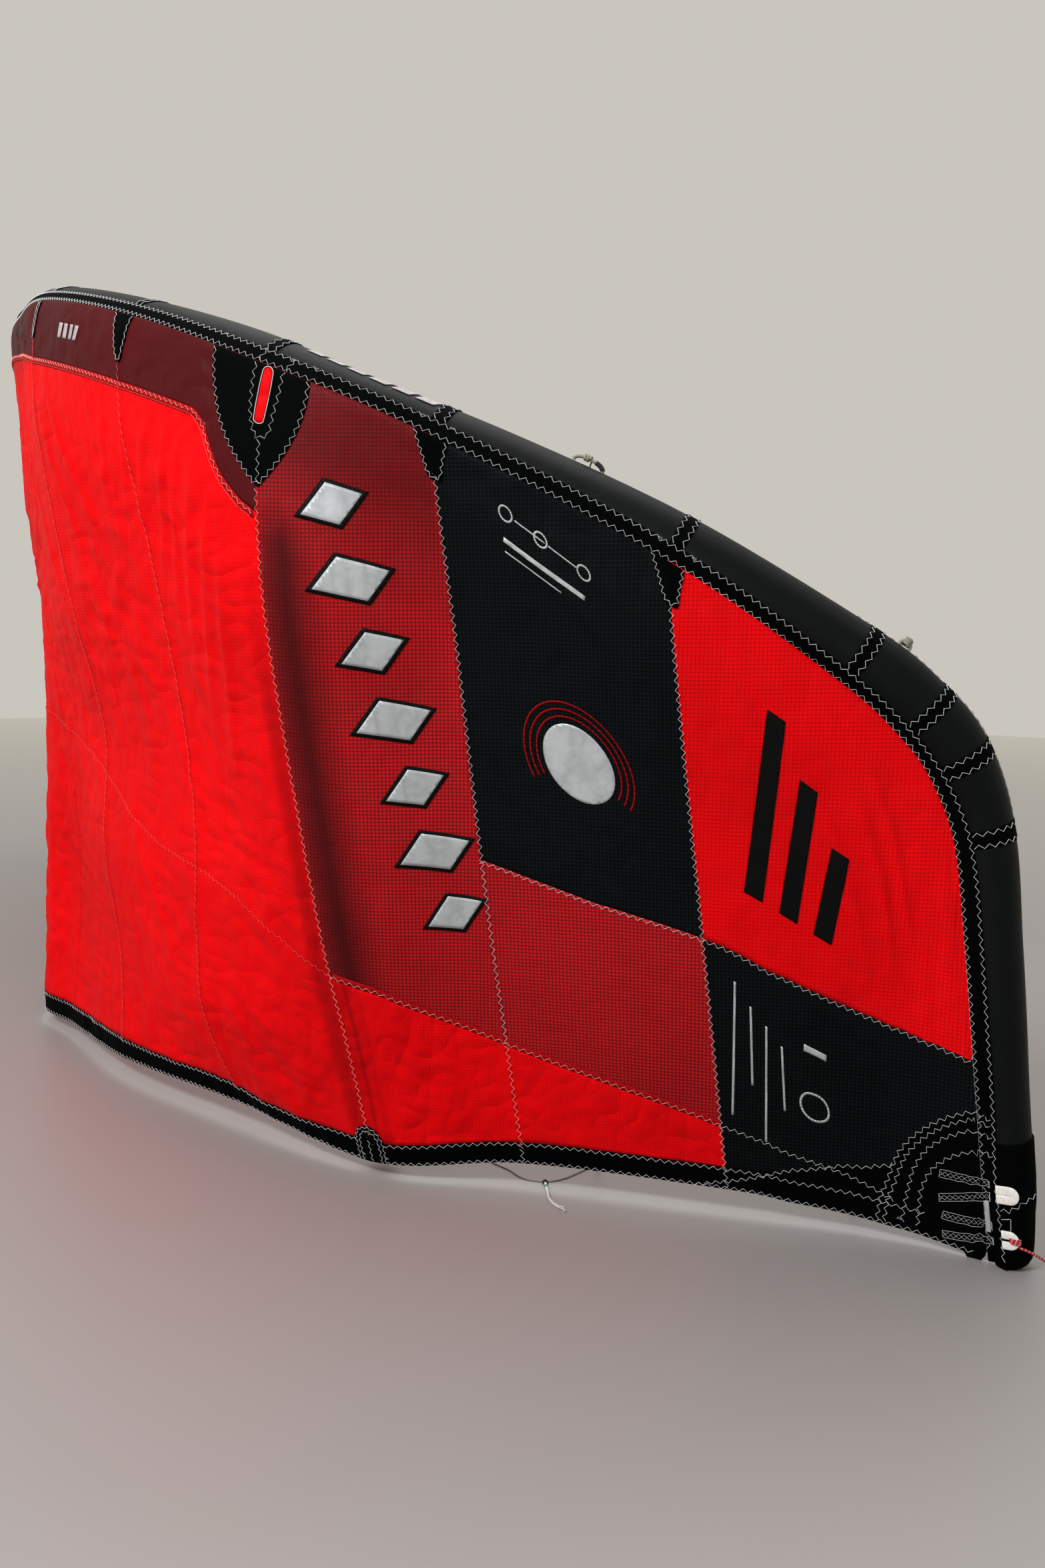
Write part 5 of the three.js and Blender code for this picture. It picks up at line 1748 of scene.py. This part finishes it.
def cut_film(bm, outline, place):
    """A grid that is cut to a convex outline and then laid on the cloth by place."""
    corners = np.array(outline, float)
    following = np.roll(corners, -1, axis=0)
    turned = np.sum(corners[:, 0] * following[:, 1] - corners[:, 1] * following[:, 0])
    corners = corners if turned > 0 else corners[::-1]
    low, high = corners.min(axis=0) - 1e-5, corners.max(axis=0) + 1e-5
    part = bmesh.new()
    columns, rows = (max(1, math.ceil(x / FILM_CELL)) for x in high - low)
    bmesh.ops.create_grid(part, x_segments=columns, y_segments=rows, size=0.5)
    bmesh.ops.scale(part, verts=part.verts[:], vec=(*(high - low), 1))
    bmesh.ops.translate(part, verts=part.verts[:], vec=(*((low + high) / 2), 0))
    for (x, y), (next_x, next_y) in zip(corners, np.roll(corners, -1, axis=0)):
        geometry = part.verts[:] + part.edges[:] + part.faces[:]
        bmesh.ops.bisect_plane(part, geom=geometry, dist=1e-7, plane_co=(x, y, 0),
                               plane_no=(next_y - y, x - next_x, 0), clear_outer=True)
    flat = np.array([vertex.co[:2] for vertex in part.verts])
    move(part.verts, place(flat[:, 0], flat[:, 1]))
    cut = bpy.data.meshes.new("cut")
    part.to_mesh(cut)
    part.free()
    bm.from_mesh(cut)
    bpy.data.meshes.remove(cut)


def film(name, outlines, place, material, out):
    """One piece of thin film from several outlines, which faces out."""
    bm = bmesh.new()
    for outline in outlines:
        cut_film(bm, outline, place)
    bmesh.ops.remove_doubles(bm, verts=bm.verts[:], dist=1e-6)
    face_along(bm, bm.faces[:], [out] * len(bm.faces))
    return thicken(finish_mesh(name, bm, material), FILM_THICKNESS)


def on_canopy(side, u, v, lift):
    """Lays flat places round a place on the canopy."""
    chord = float(chord_length(float(u)))

    def place(x, y):
        down = v + y / chord
        wanted = cut_plan(np.full_like(down, u), down)[0] + x
        at = np.full_like(down, u)
        for _ in range(6):
            at = np.clip(at + (wanted - cut_plan(at, down)[0]) * per_metre(at, down), 0.05, CORNER - 0.1)
        return canopy(side * at, down, lift)

    return place


FILM_LIFT = 0.0012
DISC_RADIUS = 0.062
TUBE_MARKS = {"u": 5.58, "turn": 78, "facing": 84}


def print_rows():
    """Each print's name, its place on the canopy, its outlines, material, slot and lift."""
    bars = [(-.03 + .019 * k, -.325 + .108 * k, .08 if k % 2 else .058) for k in range(7)]
    silver = [(np.array(slanted(width, .058, .02)) + (x, y)) for x, y, width in bars]
    edges = [(np.array(slanted(width + .014, .07, .024)) + (x, y)) for x, y, width in bars]
    angles = np.linspace(0, 2 * np.pi, 40)[:-1]
    disc = [(DISC_RADIUS * math.cos(a), DISC_RADIUS * math.sin(a)) for a in angles]
    rings = [x for r in (.073, .084, .095) for x in ring_outlines(r, .0025, 40, 150, 390)]
    links = [bar((x, y), (x + .05, y + .012), .0025) for x, y in ((-.052, -.026), (.004, -.012))]
    links += [np.array(o) + (x, y) for x, y in ((-.067, -.03), (-.009, -.016), (.063, .002))
              for o in ring_outlines(.011, .003, 20)]
    links += [bar((-.075, .01), (.06, .042), .008), bar((-.075, .028), (.02, .05), .0025)]
    stripes = [np.array(slanted(.034, length, .012)) + (x, y)
               for x, y, length in ((-.065, 0, .3), (0, .035, .23), (.065, .07, .16))]
    upright = ((-.1, -.1, .22), (-.07, -.07, .13), (-.04, -.05, .2), (-.01, -.03, .11))
    lines = [bar((x, y), (x + .012, y + length), .004) for x, y, length in upright]
    lines += [np.array(o) + (.055, .05) for o in ring_outlines(.026, .004, 28)]
    lines += [bar((.03, -.05), (.072, -.05), .012)]
    marks = [np.array(slanted(.017, .026, .004)) + (x, 0) for x in (-.04, -.012, .016, .044)]
    return [
        ("bar_edges", 5.52, .375, edges, BLACK_FILM, "black_cloth", FILM_LIFT),
        ("bars", 5.52, .375, silver, SILVER, "white_webbing", FILM_LIFT + .0004),
        ("disc", 6.5, .36, [disc], SILVER, "white_webbing", FILM_LIFT),
        ("disc_rings", 6.5, .36, rings, DEEP_RED, "red_cloth", FILM_LIFT),
        ("links", 6.47, .08, links, SILVER, "white_webbing", FILM_LIFT),
        ("stripes", 7.75, .29, stripes, BLACK_FILM, "black_cloth", FILM_LIFT),
        ("lines", 7.75, .73, lines, SILVER, "white_webbing", FILM_LIFT),
        ("scrim_marks", 3.48, .033, marks, PALE_PRINT, "white_webbing", FILM_LIFT),
    ]


def make_prints():
    for (side, letter), row in itertools.product(SIDES, print_rows()):
        name, u, v, outlines, material, slot, lift = row
        film(f"print_{name}_{letter}", outlines, on_canopy(side, u, v, lift), material,
             outward(side * u, v))
    middle, turn, facing = TUBE_MARKS.values()
    radius = float(section(middle)[0][14])
    marks = [np.array(slanted(.03, .022, .006)) + (x, 0) for x in (-.1, -.06, -.02, .02, .06, .1)]
    for side, letter in SIDES:
        def place(x, y):
            return tube_skin(side * along_tube(middle, x), turn - np.degrees(y / radius), FILM_LIFT)

        film(f"print_tube_{letter}", marks, place, PALE_PRINT,
             tube_skin(side * middle, facing, 0.01) - tube_skin(side * middle, facing))


make_prints()

# Floor, light and air
FLOOR_RADIUS = 9.0
FLOOR_NEAR = 2.2
AIR_STRENGTH = 0.72
# Name, place, what it points at, size and power
LIGHTS = (
    ("key", (3.3, -3.0, 3.8), (0.7, 0, 0.7), 1.1, 190),
    ("top", (0.0, 0.5, 5.0), (0.5, 0, 0.5), 4.0, 120),
)


def make_stage():
    bm = bmesh.new()
    bmesh.ops.create_circle(bm, cap_ends=True, segments=96, radius=FLOOR_RADIUS)
    mesh = bpy.data.meshes.new("floor")
    bm.to_mesh(mesh)
    bm.free()
    material, tree, shader = new_material("floor")
    spot = put(tree, "ShaderNodeTexCoord").outputs["Object"]
    away = put(tree, "ShaderNodeVectorMath", {0: spot}, operation="LENGTH").outputs["Value"]
    far = mapped(tree, away, FLOOR_NEAR, FLOOR_RADIUS)
    painted = mix_colour(tree, far, linear("939090"), linear("e8e4db"))
    tree.links.new(painted, shader.inputs["Base Color"])
    shader.inputs["Roughness"].default_value = 0.45
    mesh.materials.append(material)
    floor = bpy.data.objects.new("floor", mesh)
    scene.collection.objects.link(floor)
    world = bpy.data.worlds.new("air")
    scene.world = world
    world.use_nodes = True
    background = world.node_tree.nodes["Background"]
    background.inputs["Color"].default_value = linear("e9e5dc")
    background.inputs["Strength"].default_value = AIR_STRENGTH
    for name, place, target, size, power in LIGHTS:
        light = bpy.data.objects.new(name, bpy.data.lights.new(name, "AREA"))
        light.data.shape = "DISK"
        light.data.size = size
        light.data.energy = power
        light.location = place
        light.rotation_euler = (Vector(target) - Vector(place)).to_track_quat("-Z", "Y").to_euler()
        scene.collection.objects.link(light)


make_stage()
scene.view_settings.view_transform = "Standard"
